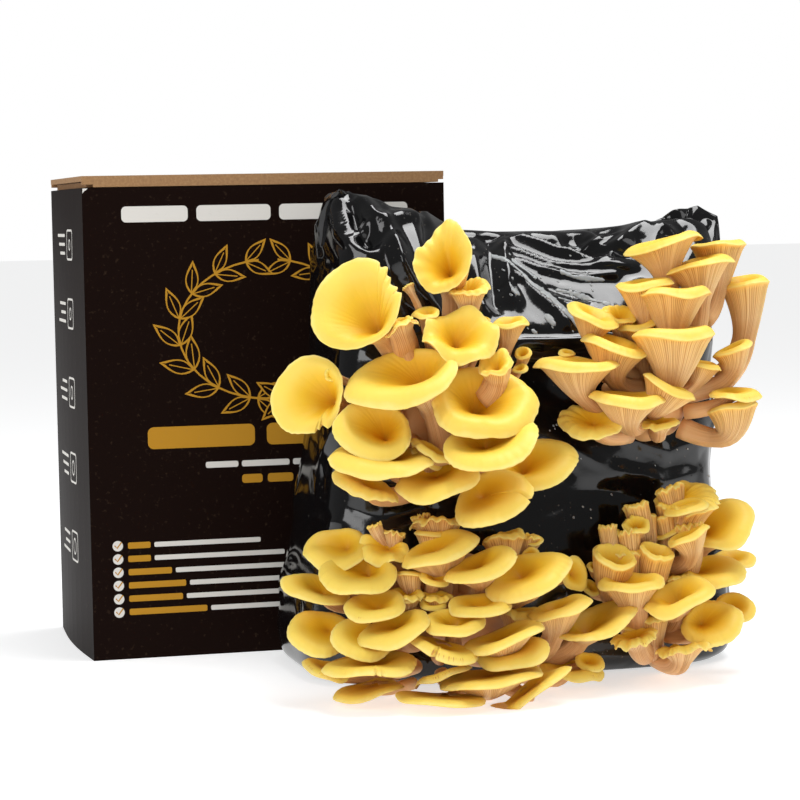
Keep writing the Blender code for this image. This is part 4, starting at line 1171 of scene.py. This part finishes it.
def build_carton(context):
    sizes = context.scene.kit_sizes
    colours = context.scene.kit_colours
    width = sizes.carton_width / MM
    depth = sizes.carton_depth / MM
    height = sizes.carton_height / MM
    board = sizes.board / MM
    materials = board_materials(colours)
    top = height - 2 * board - 2 * 0.35
    parts = []

    def add(points, faces, slots):
        parts.append((np.array([tuple(world(*p)) for p in points]), faces, slots))

    front = printed_panel(width, top, front_print(sizes.garland_leaves), lambda u, v: (u, 0.0, v))
    add(*front)
    left = printed_panel(depth, top, side_print(),
                         lambda u, v: (-carton_bow(u, v, depth, height), u, v))
    add(left[0], [f[::-1] for f in left[1]], left[2])
    for place, panel_width, flip in ((lambda u, v: (width, u, v), depth, False), (lambda u, v: (u, depth, v), width, True)):
        panel = printed_panel(panel_width, top, [], place)
        add(panel[0], [f[::-1] if flip else f for f in panel[1]], panel[2])
    # Bottom, inside walls and top rim as a loft.
    rows, columns = 15, 12

    def ring(inset, z):
        points = []
        for i in range(columns):
            points.append((inset + (width - 2 * inset) * i / columns, inset, z))
        for i in range(columns):
            points.append((width - inset, inset + (depth - 2 * inset) * i / columns, z))
        for i in range(columns):
            points.append((width - inset - (width - 2 * inset) * i / columns, depth - inset, z))
        for i in range(columns):
            y = depth - inset - (depth - 2 * inset) * i / columns
            points.append((inset - carton_bow(y, z, depth, height), y, z))
        return points
    heights = [top - (top - board) * i / rows for i in range(rows + 1)]
    inside = [ring(0.0, top)] + [ring(board, z) for z in heights]
    count = 4 * columns
    points = [p for r in inside for p in r]
    faces = [tuple(q[::-1]) for q in ring_faces(len(inside), count)]
    last = (len(inside) - 1) * count
    faces.append(tuple(range(last, last + count)))
    add(points, faces, [3] * len(faces))
    under = ring(0.0, 0.0)
    add(under, [tuple(range(len(under)))[::-1]], [3])
    offset = 0
    all_points, all_faces, all_slots = [], [], []
    for points, faces, slots in parts:
        all_points.append(points)
        all_faces += [tuple(i + offset for i in f) for f in faces]
        all_slots += list(slots)
        offset += len(points)
    piece = mesh_piece("carton_board", np.concatenate(all_points), all_faces, materials, all_slots, smooth=False)
    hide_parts("carton_walls")
    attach(piece, "kit")
    for node in ("carton_front_flap", "carton_back_flap", "carton_left_flap", "carton_right_flap"):
        flap = frame["nodes"][node]
        flap.data.materials.clear()
        flap.data.materials.append(materials[3])


def build_stage(context):
    colours = context.scene.kit_colours
    bpy.ops.object.select_all(action="DESELECT")
    bpy.ops.mesh.primitive_plane_add(size=30.0, location=(0.0, 0.0, 0.0))
    floor = context.object
    floor.name = "studio_floor"
    # A backlit acrylic table: its own glow keeps it white far from the lamps.
    material, tree, shader = new_material("backlit_white_acrylic", colours.floor, 0.5, Emission_Strength=0.6)
    shader.inputs["Emission Color"].default_value = (1.0, 1.0, 1.0, 1.0)
    floor.data.materials.append(material)
    for name, place, aim, size, size_y, power in (
            ("overhead_softbox", (0.34, 0.02, 1.55), (0.05, -0.08, 0.15), 1.0, 0.8, 22.0),
            ("left_softbox", (-1.5, -1.0, 1.0), (0.0, 0.0, 0.12), 0.8, 1.0, 11.0),
            ("right_softbox", (1.5, -0.5, 0.8), (0.0, 0.0, 0.12), 0.5, 1.0, 2.5),
            ("low_fill", (-0.25, -1.6, 0.12), (0.0, 0.0, 0.08), 1.2, 0.25, 1.5)):
        light = bpy.data.lights.new(name, "AREA")
        light.shape = "RECTANGLE"
        light.size = size
        light.size_y = size_y
        light.energy = power
        lamp = bpy.data.objects.new(name, light)
        lamp.location = place
        lamp.rotation_euler = (Vector(aim) - Vector(place)).to_track_quat("-Z", "Y").to_euler()
        # The low fill lifts the gills near the table, and isn't mirrored in the film.
        lamp.visible_glossy = name != "low_fill"
        context.scene.collection.objects.link(lamp)
    sky = bpy.data.worlds.new("studio_air")
    sky.use_nodes = True
    tree = sky.node_tree
    background = tree.nodes["Background"]
    background.inputs["Color"].default_value = (1.0, 1.0, 1.0, 1.0)
    path = add_node(tree, "ShaderNodeLightPath")
    # White behind the object, half as bright around it, and darker in the film's reflections.
    diffuse = add_node(tree, "ShaderNodeMath", {"operation": "MULTIPLY_ADD"},
                       {0: path.outputs["Is Glossy Ray"], 1: -0.29, 2: 0.49})
    level = add_node(tree, "ShaderNodeMath", {"operation": "MAXIMUM"},
                     {0: path.outputs["Is Camera Ray"], 1: diffuse.outputs[0]})
    tree.links.new(level.outputs[0], background.inputs["Strength"])
    context.scene.world = sky
    context.scene.view_settings.view_transform = "Standard"
    camera_data = bpy.data.cameras.new("photo_camera")
    camera_data.sensor_width = 36.0
    camera_data.lens = 2700.0 / 800.0 * 36.0
    camera_data.clip_start = 0.05
    camera = bpy.data.objects.new("photo_camera", camera_data)
    pitch, roll, yaw = math.radians(3.977), math.radians(-1.066), math.radians(14.455)
    forward = Vector((math.sin(yaw), math.cos(yaw), 0.0))
    right = Vector((math.cos(yaw), -math.sin(yaw), 0.0))
    up = Vector((0.0, 0.0, 1.0))
    ahead = forward * math.cos(pitch) - up * math.sin(pitch)
    above = forward * math.sin(pitch) + up * math.cos(pitch)
    across = right * math.cos(roll) + above * math.sin(roll)
    top = above * math.cos(roll) - right * math.sin(roll)
    turn = Matrix((across, top, -ahead)).transposed().to_4x4()
    camera.matrix_world = Matrix.Translation(world(-208.8, -1517.7, 251.4)) @ turn
    context.scene.collection.objects.link(camera)
    context.scene.camera = camera


class KIT_OT_carton(bpy.types.Operator):
    """Builds the printed carton"""
    bl_idname = "kit.carton"
    bl_label = "Carton"

    def execute(self, context):
        build_carton(context)
        return {"FINISHED"}


class KIT_OT_bag(bpy.types.Operator):
    """Builds the film bag of substrate"""
    bl_idname = "kit.bag"
    bl_label = "Bag"

    def execute(self, context):
        build_bag(context)
        return {"FINISHED"}


class KIT_OT_upper_left(bpy.types.Operator):
    """Builds the upper left cluster of mushrooms"""
    bl_idname = "kit.upper_left"
    bl_label = "Upper left cluster"

    def execute(self, context):
        build_cluster(context, "upper_left", 100)
        return {"FINISHED"}


class KIT_OT_lower_left(bpy.types.Operator):
    """Builds the lower left cluster of mushrooms"""
    bl_idname = "kit.lower_left"
    bl_label = "Lower left cluster"

    def execute(self, context):
        build_cluster(context, "lower_left", 200)
        return {"FINISHED"}


class KIT_OT_upper_right(bpy.types.Operator):
    """Builds the upper right cluster of mushrooms"""
    bl_idname = "kit.upper_right"
    bl_label = "Upper right cluster"

    def execute(self, context):
        build_cluster(context, "upper_right", 300)
        return {"FINISHED"}


class KIT_OT_lower_right(bpy.types.Operator):
    """Builds the lower right cluster of mushrooms"""
    bl_idname = "kit.lower_right"
    bl_label = "Lower right cluster"

    def execute(self, context):
        build_cluster(context, "lower_right", 400)
        return {"FINISHED"}


class KIT_OT_stage(bpy.types.Operator):
    """Builds the floor, the lights and the camera"""
    bl_idname = "kit.stage"
    bl_label = "Stage"

    def execute(self, context):
        build_stage(context)
        return {"FINISHED"}


class KIT_PT_panel(bpy.types.Panel):
    bl_label = "Grow kit"
    bl_idname = "KIT_PT_panel"
    bl_space_type = "VIEW_3D"
    bl_region_type = "UI"
    bl_category = "Grow kit"

    def draw(self, context):
        layout = self.layout
        for builder in BUILDERS:
            layout.operator(builder.bl_idname)
        for group in (context.scene.kit_sizes, context.scene.kit_colours):
            for name in group.__annotations__:
                layout.prop(group, name)


BUILDERS = (KIT_OT_carton, KIT_OT_bag, KIT_OT_upper_left, KIT_OT_lower_left, KIT_OT_upper_right,
            KIT_OT_lower_right, KIT_OT_stage)


def register():
    for group in (KitSizes, KitColours) + BUILDERS + (KIT_PT_panel,):
        bpy.utils.register_class(group)
    bpy.types.Scene.kit_sizes = PointerProperty(type=KitSizes)
    bpy.types.Scene.kit_colours = PointerProperty(type=KitColours)


def unregister():
    del bpy.types.Scene.kit_sizes
    del bpy.types.Scene.kit_colours
    for group in (KIT_PT_panel,) + BUILDERS[::-1] + (KitColours, KitSizes):
        bpy.utils.unregister_class(group)


def main():
    register()
    bpy.ops.kit.carton()
    bpy.ops.kit.bag()
    bpy.ops.kit.upper_left()
    bpy.ops.kit.lower_left()
    bpy.ops.kit.upper_right()
    bpy.ops.kit.lower_right()
    bpy.ops.kit.stage()


if __name__ == "__main__":
    main()
